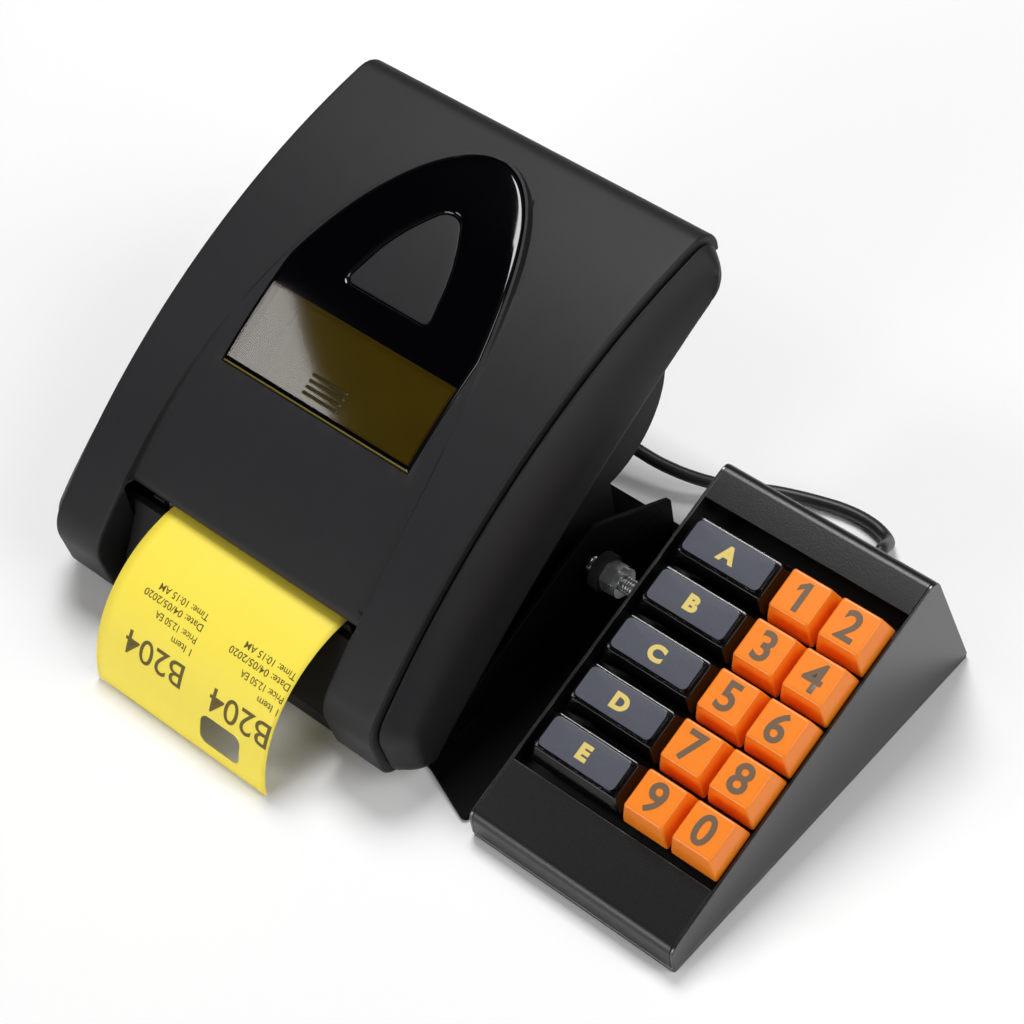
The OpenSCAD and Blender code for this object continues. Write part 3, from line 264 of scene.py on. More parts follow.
CIRCUIT = Finish("circuit_board", (0.010, 0.075, 0.030), (0.014, 0.095, 0.038), 0.35,
                 specular=0.5, grain=0.5, depth=0.01, mottle=2.5)
SOCKET = Finish("socket_plastic", (0.014, 0.014, 0.015), (0.020, 0.020, 0.021), 0.5,
                specular=0.4, grain=0.5, depth=0.02, mottle=4.0)


def linked(name: str, data: bpy.types.ID) -> bpy.types.Object:
    """Makes an object of some data and puts it into the scene."""
    made = bpy.data.objects.new(name, data)
    bpy.context.scene.collection.objects.link(made)
    return made


class Surface:
    """Grids of points, gathered into one mesh with one material per slot."""

    def __init__(self) -> None:
        """Starts without points."""
        self._points: list[Array] = []
        self._faces: list[Array] = []
        self._slots: list[Array] = []
        self._count = 0

    def grid(self, points: Array, slot: int = 0, wrap: bool = False) -> None:
        """Adds a grid and joins neighbouring points with four-sided faces.

        Args:
            points: Array of rows, columns and xyz in mm.
            slot: Material slot of the faces.
            wrap: Whether the last column joins the first one.
        """
        rows, columns = points.shape[:2]
        index = np.arange(rows * columns).reshape(rows, columns)
        if wrap:
            index = np.hstack([index, index[:, :1]])
        faces = np.stack([index[:-1, :-1], index[:-1, 1:], index[1:, 1:], index[1:, :-1]], axis=-1)
        self.faces(points.reshape(-1, 3), faces.reshape(-1, 4), slot)

    def faces(self, points: Array, faces: Array, slot: int = 0) -> None:
        """Adds points in mm with the faces that index them."""
        self._points.append(points)
        self._faces.append(faces + self._count)
        self._slots.append(np.full(len(faces), slot))
        self._count += len(points)

    def build(self, name: str, finishes: list[Finish], inside: Array | None = None,
              solid: float = 0.0, bevel: float = 0.0) -> bpy.types.Object:
        """Makes the object, welds its seams and points its faces outwards.

        Args:
            name: Name of the piece.
            finishes: One finish per material slot.
            inside: A point in mm that the faces look away from, or None to keep them.
            solid: Thickness in mm that the surface gets on its inner side.
            bevel: Width in mm of the rounding of its sharp edges.

        Returns:
            The finished object at the origin.
        """
        mesh = bpy.data.meshes.new(name)
        corners = [face for block in self._faces for face in block.tolist()]
        mesh.from_pydata((np.concatenate(self._points) * MM).tolist(), [], corners)
        mesh.polygons.foreach_set("material_index", np.concatenate(self._slots).astype(np.int32))
        made = linked(name, mesh)
        for finish in finishes:
            mesh.materials.append(finish.material())
        work = bmesh.new()
        work.from_mesh(mesh)
        bmesh.ops.remove_doubles(work, verts=work.verts, dist=WELD)
        bmesh.ops.dissolve_degenerate(work, dist=SLIVER, edges=work.edges)
        if inside is not None:
            bmesh.ops.recalc_face_normals(work, faces=work.faces)
            work.to_mesh(mesh)
            if outward_share(mesh, inside * MM) < 0.0:
                bmesh.ops.reverse_faces(work, faces=work.faces)
        work.to_mesh(mesh)
        work.free()
        finish_edges(made, solid, bevel)
        return made


def outward_share(mesh: bpy.types.Mesh, point: Array) -> float:
    """Sums area times the outward part of each face's normal, seen from a point.

    Args:
        mesh: The mesh to look at.
        point: The point inside it, in metres.

    Returns:
        A positive number if most of the surface looks away from the point.
    """
    count = len(mesh.polygons)
    centres = np.empty(count * 3)
    normals = np.empty(count * 3)
    areas = np.empty(count)
    mesh.polygons.foreach_get("center", centres)
    mesh.polygons.foreach_get("normal", normals)
    mesh.polygons.foreach_get("area", areas)
    away = ((centres.reshape(-1, 3) - point) * normals.reshape(-1, 3)).sum(axis=1)
    return float((areas * away).sum())


def finish_edges(made: bpy.types.Object, solid: float, bevel: float) -> None:
    """Thickens a surface, rounds its sharp edges and shades it smooth.

    Args:
        made: The object to work on.
        solid: Wall thickness in mm, or 0.
        bevel: Rounding width in mm, or 0.
    """
    made.data.polygons.foreach_set("use_smooth", np.ones(len(made.data.polygons), dtype=bool))
    if solid:
        wall = made.modifiers.new("wall", "SOLIDIFY")
        wall.thickness = solid * MM
        wall.offset = -1.0
        wall.use_quality_normals = True
    if bevel:
        rounding = made.modifiers.new("rounding", "BEVEL")
        rounding.width = bevel * MM
        rounding.segments = 3
        rounding.limit_method = "ANGLE"
        rounding.angle_limit = SHARP
        weigh = made.modifiers.new("shading", "WEIGHTED_NORMAL")
        weigh.keep_sharp = True
    else:
        made.data.set_sharp_from_angle(angle=SHARP)


def place(made: bpy.types.Object, body: str, slot: str, *nodes: str) -> bpy.types.Object:
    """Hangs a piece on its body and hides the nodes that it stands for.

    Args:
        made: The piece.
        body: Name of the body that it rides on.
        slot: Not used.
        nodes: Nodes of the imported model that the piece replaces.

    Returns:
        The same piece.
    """
    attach(made, body)
    if nodes:
        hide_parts(*nodes)
    LOG.info("%s: %d faces, rides on %s", made.name, len(made.data.polygons), body)
    return made


def paint(finish: Finish, *nodes: str) -> None:
    """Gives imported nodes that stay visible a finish."""
    for node in nodes:
        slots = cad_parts[node].data.materials
        slots.clear()
        slots.append(finish.material())
        LOG.info("%s: painted %s", node, finish.name)


def softened(node: str, body: str, slot: str, finish: Finish, bevel: float) -> bpy.types.Object:
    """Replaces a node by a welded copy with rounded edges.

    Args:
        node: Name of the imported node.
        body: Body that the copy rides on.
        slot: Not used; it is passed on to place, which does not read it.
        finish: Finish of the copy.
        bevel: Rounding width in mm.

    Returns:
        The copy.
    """
    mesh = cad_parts[node].data.copy()
    mesh.name = f"{node}_soft"
    mesh.materials.clear()
    mesh.materials.append(finish.material())
    work = bmesh.new()
    work.from_mesh(mesh)
    bmesh.ops.remove_doubles(work, verts=work.verts, dist=CAD_WELD)
    bmesh.ops.dissolve_limit(work, angle_limit=math.radians(1.0), verts=work.verts, edges=work.edges)
    bmesh.ops.recalc_face_normals(work, faces=work.faces)
    work.to_mesh(mesh)
    work.free()
    made = linked(mesh.name, mesh)
    finish_edges(made, 0.0, bevel)
    return place(made, body, slot, node)


def pairs(x: Array | float, y: Array | float) -> Array:
    """Stacks two coordinates, spread to the same shape, into points."""
    return np.stack(np.broadcast_arrays(x, y), axis=-1)


def rounded_loop(half_w: float, half_d: float, radius: float, steps: int = 6) -> Array:
    """Rectangle with round corners, as points that run round it once.

    Each corner is a quarter circle of steps + 1 points about its own centre.

    Args:
        half_w: Half of its width.
        half_d: Half of its depth.
        radius: Corner radius.
        steps: Pieces of each quarter circle.

    Returns:
        Array of (4 * (steps + 1), 2) points.
    """
    turn = np.radians(np.arange(4)[:, None] * 90.0 + np.linspace(0.0, 90.0, steps + 1)[None, :])
    signs = np.array([[1.0, 1.0], [-1.0, 1.0], [-1.0, -1.0], [1.0, -1.0]])
    radius = min(radius, half_w, half_d)
    centres = signs * np.array([half_w - radius, half_d - radius])
    ring = centres[:, None, :] + radius * pairs(np.cos(turn), np.sin(turn))
    return ring.reshape(-1, 2)


def rounded_polygon(corners: Array, radii: Array, steps: int = 10) -> Array:
    """Convex polygon with round corners, counter-clockwise.

    Each corner becomes an arc about the point at radius / sin(half angle) along its bisector.

    Args:
        corners: Array of (n, 2) corner points.
        radii: One radius per corner.
        steps: Pieces of each arc.

    Returns:
        Array of (n * (steps + 1), 2) points.
    """
    before = unit(np.roll(corners, 1, axis=0) - corners)
    after = unit(np.roll(corners, -1, axis=0) - corners)
    half = 0.5 * np.arccos((before * after).sum(axis=1))
    centres = corners + unit(before + after) * (radii / np.sin(half))[:, None]
    first = corners + before * (radii / np.tan(half))[:, None] - centres
    sweep = (math.pi - 2.0 * half)[:, None] * np.linspace(0.0, 1.0, steps + 1)[None, :]
    turn = np.arctan2(first[:, 1], first[:, 0])[:, None] + sweep
    ring = centres[:, None, :] + radii[:, None, None] * pairs(np.cos(turn), np.sin(turn))
    return ring.reshape(-1, 2)


def full_turn(steps: int) -> Array:
    """Angles of a full turn, evenly spaced and without the last one."""
    return np.linspace(0.0, FULL_TURN, steps, endpoint=False)


def quarter_turn(steps: int) -> Array:
    """Angles from 0 to 90 degrees, evenly spaced."""
    return np.radians(np.linspace(0.0, 90.0, steps))


def unit(vectors: Array) -> Array:
    """Scales vectors to length one along the last axis."""
    return vectors / np.linalg.norm(vectors, axis=-1, keepdims=True)


def dense_loop(loop: Array, count: int) -> Array:
    """Closed loop with evenly spaced points, found by distance along it.

    Args:
        loop: Array of (n, 2) points.
        count: Number of points wanted.

    Returns:
        Array of (count, 2) points.
    """
    closed = np.vstack([loop, loop[:1]])
    run = np.concatenate([[0.0], np.cumsum(np.linalg.norm(np.diff(closed, axis=0), axis=1))])
    wanted = np.linspace(0.0, run[-1], count, endpoint=False)
    return pairs(np.interp(wanted, run, closed[:, 0]), np.interp(wanted, run, closed[:, 1]))


def inset_loop(loop: Array, distance: float | Array) -> Array:
    """Moves a counter-clockwise loop inwards by a distance, with mitred corners.

    Args:
        loop: Array of (n, 2) points.
        distance: Inset in mm, negative to grow.

    Returns:
        The moved loop.
    """
    along = unit(np.roll(loop, -1, axis=0) - loop)
    right = pairs(-along[:, 1], along[:, 0])
    left = np.roll(right, 1, axis=0)
    mitre = (left + right) / (1.0 + (left * right).sum(axis=1, keepdims=True))
    return loop + mitre * distance


def loop_reach(loop: Array, rays: Array) -> Array:
    """Distance from the origin to a loop round it along each ray, looked up by bearing.

    Args:
        loop: Array of (n, 2) points.
        rays: Array of (m, 2) directions of any length.

    Returns:
        Array of m distances.
    """
    bearing = np.arctan2(loop[:, 1], loop[:, 0])
    wanted = np.arctan2(rays[:, 1], rays[:, 0])
    return np.interp(wanted, bearing, np.linalg.norm(loop, axis=1), period=FULL_TURN)


def lettering(words: str, height: float, weight: float, cell: float) -> tuple[Array, Array]:
    """Flat filled lettering, cut into small triangles so that it can follow a surface.

    Args:
        words: What is written.
        height: Height of a capital in mm.
        weight: Extra thickness of the strokes in mm.
        cell: Spacing of the cuts in mm.

    Returns:
        Points (n, 2) about the middle of the line, and triangles (m, 3).
    """
    curve = bpy.data.curves.new("lettering", "FONT")
    curve.body = words
    curve.size = height / CAPITAL_SHARE
    curve.offset = weight
    curve.resolution_u = 5
    curve.align_x = "CENTER"
    writer = linked("lettering", curve)
    mesh = bpy.data.meshes.new_from_object(writer.evaluated_get(bpy.context.evaluated_depsgraph_get()))
    work = bmesh.new()
    work.from_mesh(mesh)
    bmesh.ops.remove_doubles(work, verts=work.verts, dist=1e-5)
    corners = np.array([vertex.co[:2] for vertex in work.verts])
    for normal, low, high in zip(np.eye(3), corners.min(axis=0), corners.max(axis=0)):
        for cut in np.arange(low + cell, high, cell):
            everything = work.verts[:] + work.edges[:] + work.faces[:]
            bmesh.ops.bisect_plane(work, geom=everything, plane_co=cut * normal, plane_no=normal)
    bmesh.ops.triangulate(work, faces=work.faces)
    work.to_mesh(mesh)
    work.free()
    points = np.empty(len(mesh.vertices) * 3)
    mesh.vertices.foreach_get("co", points)
    triangles = np.empty(len(mesh.polygons) * 3, dtype=np.int64)
    mesh.polygons.foreach_get("vertices", triangles)
    bpy.data.objects.remove(writer)
    bpy.data.curves.remove(curve)
    bpy.data.meshes.remove(mesh)
    flat = points.reshape(-1, 3)[:, :2] - np.array([0.0, height / 2.0])
    return flat, triangles.reshape(-1, 3)


@dataclass
class SideProfile:
    """Side view of the printer's cover: front face, nose, crown, back corner and skirt.

    Points are found by arc length from the foot of the front face.
    """

    length: float = 180.0
    height: float = 108.5
    crown_r: float = 270.0
    crown_back: float = 9.0
    nose_r: float = 14.0
    lean: float = math.radians(7.0)
    back_r: float = 10.0
    foot_z: float = 4.5
    foot_r: float = 7.0
    skirt: float = 1.0

    def __post_init__(self) -> None:
        """Works out the centres, the turning angles and the lengths of the five pieces."""
        self.crown_c = np.array([self.length + self.crown_back, self.height - self.crown_r])
        rise = math.sqrt((self.crown_r - self.nose_r) ** 2 - (self.crown_c[0] - self.nose_r) ** 2)
        self.nose_c = np.array([self.nose_r, self.crown_c[1] + rise])
        hinge_y = self.length - self.back_r
        lift = math.sqrt((self.crown_r - self.back_r) ** 2 - (self.crown_c[0] - hinge_y) ** 2)
        self.hinge_c = np.array([hinge_y, self.crown_c[1] + lift])
        self.front = self.nose_c - self.nose_r * np.array([math.cos(self.lean), math.sin(self.lean)])
        drop = self.front[1] - self.foot_z
        self.foot = self.front + drop * np.array([math.tan(self.lean), -1.0])
        nose_end = math.atan2(*(self.nose_c - self.crown_c)[::-1])
        crown_end = math.atan2(*(self.hinge_c - self.crown_c)[::-1])
        self.turns = np.array([math.pi + self.lean, math.pi + self.lean, nose_end, crown_end, 0.0])
        pieces = [
            drop / math.cos(self.lean),
            self.nose_r * (math.pi + self.lean - nose_end),
            self.crown_r * (nose_end - crown_end),
            self.back_r * crown_end,
            self.skirt,
        ]
        self.stops = np.concatenate([[0.0], np.cumsum(pieces)])

    @property
    def total(self) -> float:
        """Arc length from the foot of the front face to the end of the skirt."""
        return float(self.stops[-1])

    def along(self, y: Array | float) -> Array:
        """Arc length at which the crown passes a depth y."""
        turn = np.arccos((np.asarray(y, dtype=float) - self.crown_c[0]) / self.crown_r)
        return self.stops[2] + self.crown_r * (self.turns[2] - turn)

    def at(self, t: Array, out: Array | float = 0.0) -> tuple[Array, Array]:
        """Point at arc length t, moved outwards along the normal.

        Below foot_r the front face bends back along a quarter circle of that radius.

        Args:
            t: Arc length in mm.
            out: Distance from the profile, positive outside it.

        Returns:
            The y and z of the point.
        """
        t = np.asarray(t, dtype=float)
        piece = np.clip(np.searchsorted(self.stops, t, side="right") - 1, 0, 4)
        run = t - self.stops[piece]
        radius = np.array([np.inf, self.nose_r, self.crown_r, self.back_r, np.inf])[piece]
        turn = self.turns[piece] - run / radius
        centre_y = np.array([0.0, self.nose_c[0], self.crown_c[0], self.hinge_c[0], self.length])[piece]
        centre_z = np.array([0.0, self.nose_c[1], self.crown_c[1], self.hinge_c[1], self.hinge_c[1]])[piece]
        arc = np.isfinite(radius)
        reach = np.where(arc, radius, 0.0)
        slope = (self.front - self.foot) / self.stops[1]
        y = np.where(piece == 0, self.foot[0] + slope[0] * run, centre_y + reach * np.cos(turn))
        z = np.where(piece == 0, self.foot[1] + slope[1] * run, centre_z + reach * np.sin(turn))
        z = np.where(piece == 4, centre_z - run, z)
        short = self.foot_r - np.clip(t, 0.0, self.foot_r)
        out = out - self.foot_r + np.sqrt(self.foot_r ** 2 - short ** 2)
        return y + out * np.cos(turn), z + out * np.sin(turn)


def in_printer(x: Array | float, y: Array | float, z: Array | float) -> Array:
    """Stacks printer coordinates and moves them to the part's frame, in mm."""
    x, y, z = np.broadcast_arrays(x, y, z)
    return np.stack([x + PRINTER_X, y + NOSE_Y, z], axis=-1)


# A point below the cover, from which its faces look away
UNDER_COVER = in_printer(0.0, 100.0, 30.0)


def turned(x: Array, radius: Array, axis: tuple[float, float]) -> Array:
    """Rings about a line along x in the printer: axis + radius * (cos, sin) of a full turn.

    Args:
        x: Place of each ring (n,).
        radius: Radius of each ring's points (n, m).
        axis: The line's y and z.

    Returns:
        Array of (n, m, 3) points of the part's frame.
    """
    turn = full_turn(radius.shape[1])
    return in_printer(x[:, None], axis[0] + radius * np.cos(turn), axis[1] + radius * np.sin(turn))


@dataclass
class Cover:
    """Hinged clamshell cover: skin, arch panel, jaws, window recess and triangle island.

    Surfaces are laid in the plane of x and arc length t and lifted off the side profile.
    Inside the arch the skin tilts about the line at flush_y, so that it sinks towards the
    mouth and stands proud at its apex. The rows outside the arch stand first at the distances in
    near, then at the shares in far of what is left to the cover's edge.
    """

    profile: SideProfile
    half_w: float = 74.0
    edge_r: float = 1.1
    rim: float = 5.0
    wall: float = 2.4
    lip_y: float = 20.0
    arch_w: float = 52.5
    arch_l: float = 142.0
    flush_y: float = 78.0
    tilt: float = math.radians(2.2)
    jaw_y: float = 18.0
    jaw_r: float = 1.2
    window_w: float = 42.0
    window_y: float = 62.0
    window_in: float = 1.5
    gap: float = 0.25
    lens_t: float = 2.2
    ledge: float = 3.0
    band_y: float = 90.0
    tri_w: float = 18.6
    tri_y: float = 101.2
    tri_l: float = 40.8
    tri_bow: tuple[float, float] = (13.4, 20.3)
    tri_radii: tuple[float, ...] = (2.5, 2.5, 60.0, 6.5, 60.0)
    step_out: float = 0.7
    step_in: float = 0.25
    lip_r: float = 2.45
    edge_round: float = 0.5
    near: tuple[float, ...] = (0.0, 0.18, 0.36, 0.54, 0.7, 1.6)
    far: tuple[float, ...] = (0.12, 0.3, 0.5, 0.7, 0.86, 0.95, 1.0)
    columns: int = 29
    arch_steps: tuple[int, int, int] = (24, 22, 18)
    arch_crowding: float = 1.8
    back_rows: int = 16
    jaw_end: float = 1.5
    mouth_end: float = 0.4
    rim_share: float = 0.55
    pad_over: float = 1.0
    pad_top: float = 3.0
    pad_side: float = 2.5
    pad_gap: float = 0.05
    island_in: tuple[float, ...] = (0.0, 0.0, 0.15, 0.5)
    island_down: tuple[float, ...] = (2.2, 1.0, 0.65, 0.5)
    island_shares: tuple[float, ...] = (0.75, 0.5, 0.25, 0.0)
    knuckles_x: tuple[float, float] = (-50.0, 50.0)
    knuckle_r: tuple[float, ...] = (1.95, 6.6, 7.0, 7.0, 6.6, 1.95, 1.95)
    knuckle_dx: tuple[float, ...] = (-5.5, -5.5, -5.1, 5.1, 5.5, 5.5, -5.5)

    def lift(self, t: Array) -> Array:
        """Height of the tilted arch panel over the side profile, rounded down at the lip."""
        run = np.clip(t - self.profile.along(self.lip_y), 0.0, self.lip_r)
        dip = self.lip_r - np.sqrt(self.lip_r ** 2 - (self.lip_r - run) ** 2)
        return (t - self.profile.along(self.flush_y)) * math.tan(self.tilt) - dip

    def skin(self, x: Array, t: Array, out: Array | float = 0.0) -> Array:
        """Points of the part's frame at (x, t), moved out along the normal."""
        y, z = self.profile.at(t, out)
        return in_printer(x, y, z)

    def edge(self, turn: Array) -> tuple[Array, Array, Array, Array]:
        """Arch boundary at an angle: x, arc length, and its outward normal in that plane."""
        x = self.arch_w * np.cos(turn)
        y = self.lip_y + self.arch_l * np.sin(turn)
        t = self.profile.along(y)
        stretch = self.profile.crown_r / np.sqrt(
            self.profile.crown_r ** 2 - (self.profile.crown_c[0] - y) ** 2)
        normal = unit(pairs(stretch * self.arch_l * np.cos(turn), self.arch_w * np.sin(turn)))
        return x, t, normal[:, 0], normal[:, 1]

    def reach(self, turn: Array) -> tuple[Array, Array]:
        """Distance along the arch's normal to the cover's side edge and to its back corner."""
        x, t, nx, nt = self.edge(turn)
        side = (self.half_w - self.edge_r - x) / np.maximum(nx, 1e-9)
        back = (self.profile.stops[3] - t) / np.maximum(nt, 1e-9)
        return side, back

    def angles(self) -> tuple[Array, int, int]:
        """Angles of the arch boundary, with the window's corner and the cover's corner among them.

        Returns:
            The angles from 0 to 180 degrees, and the index of either corner.
        """
        split = math.asin((self.window_y - self.gap - self.lip_y) / self.arch_l)
        trial = np.linspace(split, QUARTER_TURN - 0.02, 2000)
        side, back = self.reach(trial)
        corner = float(np.interp(0.0, back[::-1] - side[::-1], trial[::-1]))
        steps = self.arch_steps
        low = split * np.linspace(0.0, 1.0, steps[0]) ** self.arch_crowding
        mid = np.linspace(split, corner, steps[1])[1:]
        top = np.linspace(corner, QUARTER_TURN, steps[2])[1:]
        half = np.concatenate([low, mid, top])
        both = np.concatenate([half, HALF_TURN - half[-2::-1]])
        return both, len(low) - 1, len(low) + len(mid) - 1

    def hole(self, turn: Array) -> tuple[Array, Array]:
        """Edge of the window recess that faces the arch boundary at an angle."""
        grow = self.window_in - self.gap
        side = self.window_w + self.gap
        x = np.clip((self.arch_w - grow) * np.cos(turn), -side, side)
        y = self.lip_y + (self.arch_l - grow) * np.sin(turn)
        return x, self.profile.along(np.maximum(y, self.window_y - self.gap))

    def step(self, distance: Array) -> Array:
        """Share of the panel's lift at a signed distance outside the arch boundary."""
        share = np.clip((self.step_out - distance) / (self.step_out + self.step_in), 0.0, 1.0)
        return share * share * (3.0 - 2.0 * share)

    def build(self) -> bpy.types.Object:
        """Lays all patches of the cover and joins them.

        Returns:
            The cover as one thickened, rounded shell.
        """
        made = Surface()
        turn, split, corner = self.angles()
        x, t, nx, nt = self.edge(turn)
        limit = np.minimum(*self.reach(np.minimum(turn, HALF_TURN - turn)))
        near = np.broadcast_to(np.array(self.near)[:, None], (len(self.near), len(turn)))
        far = self.near[-1] + (limit - self.near[-1]) * np.array(self.far)[:, None]
        distance = np.vstack([near, far])
        ring_t = t + nt * distance
        ring_x = x + nx * distance
        made.grid(self.skin(ring_x, ring_t, self.lift(ring_t) * self.step(distance)))
        back_t = np.linspace(self.profile.stops[3], self.profile.total, self.back_rows)
        made.grid(self.skin(ring_x[-1:, corner: len(turn) - corner], back_t[:, None]))
        self._rims(made, ring_t[-1], corner, distance[:, 0], back_t)
        self._panel(made, turn, split)
        self._recess(made, turn, split)
        self._island(made)
        shell = made.build("cover_shell", [CHARCOAL], UNDER_COVER, self.wall, self.edge_round)
        self._knuckles()
        return place(shell, Body.COVER.value, "shell", "top_cover")

    def _rims(self, made: Surface, ring_t: Array, corner: int, across: Array, back_t: Array) -> None:
        """Lays both jaws over the nose, the mouth's walls and the rounded side rims.

        Args:
            made: Surface that takes the patches.
            ring_t: Arc lengths at which the ring round the arch ends.
            corner: Index of the cover's corner among them.
            across: Distances of the jaw's columns from its inner edge.
            back_t: Arc lengths of the rows round the back corner.
        """
        lip_t = float(self.profile.along(self.lip_y))
        foot = self.profile.foot_r
        foot_t = foot * (1.0 - np.cos(quarter_turn(10)))
        jaw_t = np.concatenate([foot_t, np.linspace(foot, lip_t - self.jaw_end, 30)[1:], [lip_t]])
        dip = np.where(across < self.jaw_r, np.sqrt(np.maximum(
            self.jaw_r ** 2 - (self.jaw_r - across) ** 2, 0.0)) - self.jaw_r, 0.0)
        out = np.broadcast_to(dip, (len(jaw_t), len(across))).copy()
        out[-1] = self.lift(np.array([lip_t]))[0] * self.step(across)
        turn = quarter_turn(6)
        rim_x = np.concatenate([self.edge_r * np.sin(turn), [self.edge_r, self.edge_r]])
        rim_ends = [-self.rim_share * self.rim, -self.rim]
        rim_d = np.concatenate([self.edge_r * (np.cos(turn) - 1.0), rim_ends])
        for hand in (1.0, -1.0):
            made.grid(self.skin(hand * (self.arch_w + across)[None, :], jaw_t[:, None], out))
            start = self.skin(np.full(len(jaw_t), hand * self.arch_w), jaw_t, out[:, 0])
            start = start[start[:, 1] < NOSE_Y + self.jaw_y - self.mouth_end]
            end = start.copy()
            end[:, 1] = NOSE_Y + self.jaw_y
            share = np.linspace(0.0, 1.0, 5)[:, None, None]
            made.grid(start[None] * (1.0 - share) + end[None] * share)
            edge_t = ring_t if hand > 0 else ring_t[::-1]
            rim_t = np.concatenate([jaw_t[:-1], edge_t[:corner], back_t])
            flat_x = hand * (self.half_w - self.edge_r + rim_x)
            made.grid(self.skin(flat_x[:, None], rim_t[None, :], rim_d[:, None]))

    def _panel(self, made: Surface, turn: Array, split: int) -> None:
        """Lays the arch panel: its lower part up to the window, and the border round the window."""
        inner = np.array([0.0, 0.5, 1.0])[:, None] * self.step_in
        x, t, nx, nt = self.edge(turn)
        hole_x, hole_t = self.hole(turn)
        rows_x = x - nx * inner
        rows_t = t - nt * inner
        last_x = rows_x[-1:]
        last_t = rows_t[-1:]
        border_x = np.vstack([rows_x, 0.5 * (last_x + hole_x), hole_x[None]])
        border_t = np.vstack([rows_t, 0.5 * (last_t + hole_t), hole_t[None]])
        share = self.step(-np.vstack([inner, inner[-1:], inner[-1:]]))
        keep = slice(split, len(turn) - split)
        made.grid(self.skin(border_x, border_t, self.lift(border_t) * share)[:, keep])
        low = slice(0, split + 1)
        scale = (self.window_w + self.gap) / x[split]
        rail_x = x[None, low] * scale
        side_x = np.vstack([rows_x[:, low], 0.5 * (last_x[:, low] + rail_x), rail_x])
        side_t = np.vstack([rows_t[:, low], 0.5 * (last_t[:, low] + t[None, low]), t[None, low]])
        middle = np.linspace(1.0, -1.0, self.columns)[1:-1, None] * rail_x
        all_x = np.vstack([side_x, middle, -side_x[::-1]])
        all_t = np.vstack([side_t, np.broadcast_to(t[low], middle.shape), side_t[::-1]])
        shares = np.concatenate([share[:, 0], np.ones(len(middle)), share[::-1, 0]])[:, None]
        made.grid(self.skin(all_x, all_t, self.lift(all_t) * shares))

    def window_loop(self, turn: Array, split: int) -> Array:
        """Edge of the window recess as a counter-clockwise loop of (x, t)."""
        hole_x, hole_t = self.hole(turn[split: len(turn) - split])
        base_x = np.linspace(-1.0, 1.0, self.columns)[1:-1] * (self.window_w + self.gap)
        return np.concatenate([pairs(hole_x, hole_t), pairs(base_x, hole_t[0])])

    def _recess(self, made: Surface, turn: Array, split: int) -> None:
        """Lays the wall and the ledge that carry the lens, and the pad behind its dark part."""
        loop = self.window_loop(turn, split)
        inner = inset_loop(loop, self.ledge)
        rows = np.stack([loop, loop, inner])
        depth = np.array([0.0, -self.lens_t, -self.lens_t])[:, None]
        made.grid(self.skin(rows[..., 0], rows[..., 1], self.lift(rows[..., 1]) + depth), wrap=True)
        y = np.linspace(self.band_y - self.pad_over, self.lip_y + self.arch_l - self.pad_top, 30)[:, None]
        span = self.arch_w * np.sqrt(1.0 - ((y - self.lip_y) / self.arch_l) ** 2) - self.pad_side
        pad_x = np.minimum(span, self.window_w - self.pad_over) * np.linspace(-1.0, 1.0, 21)[None, :]
        pad_t = np.broadcast_to(self.profile.along(y), pad_x.shape)
        made.grid(self.skin(pad_x, pad_t, self.lift(pad_t) - self.lens_t - self.pad_gap))

    def triangle(self, grow: float) -> Array:
        """Outline of the triangle in (x, y) with bowed sides, grown by a distance."""
        bow_x, bow_y = self.tri_bow
        corners = np.array([[-self.tri_w, 0.0], [self.tri_w, 0.0], [bow_x, bow_y], [0.0, self.tri_l],
                            [-bow_x, bow_y]])
        loop = rounded_polygon(corners + np.array([0.0, self.tri_y]), np.array(self.tri_radii), 12)
        return inset_loop(loop, -grow)

    def _island(self, made: Surface) -> None:
        """Lays the raised triangle that fills the opening in the lens."""
        loop = self.triangle(-self.gap)
        middle = loop.mean(axis=0)
        rows = [inset_loop(loop, inset) for inset in self.island_in]
        rows = np.stack(rows + [middle + (rows[-1] - middle) * share for share in self.island_shares])
        down = np.concatenate([self.island_down, np.full(len(self.island_shares), self.island_down[-1])])
        t = self.profile.along(rows[..., 1])
        made.grid(self.skin(rows[..., 0], t, self.lift(t) - down[:, None]), wrap=True)

    def _knuckles(self) -> None:
        """Makes the two hinge knuckles as rings about the hinge line."""
        made = Surface()
        radius = np.repeat(np.array(self.knuckle_r)[:, None], 40, axis=1)
        for centre in self.knuckles_x:
            made.grid(turned(centre + np.array(self.knuckle_dx), radius, self.profile.hinge_c), wrap=True)
        inside = in_printer(0.0, *self.profile.hinge_c)
        place(made.build("hinge_knuckles", [CHARCOAL], inside), Body.COVER.value, "shell", "top_cover")


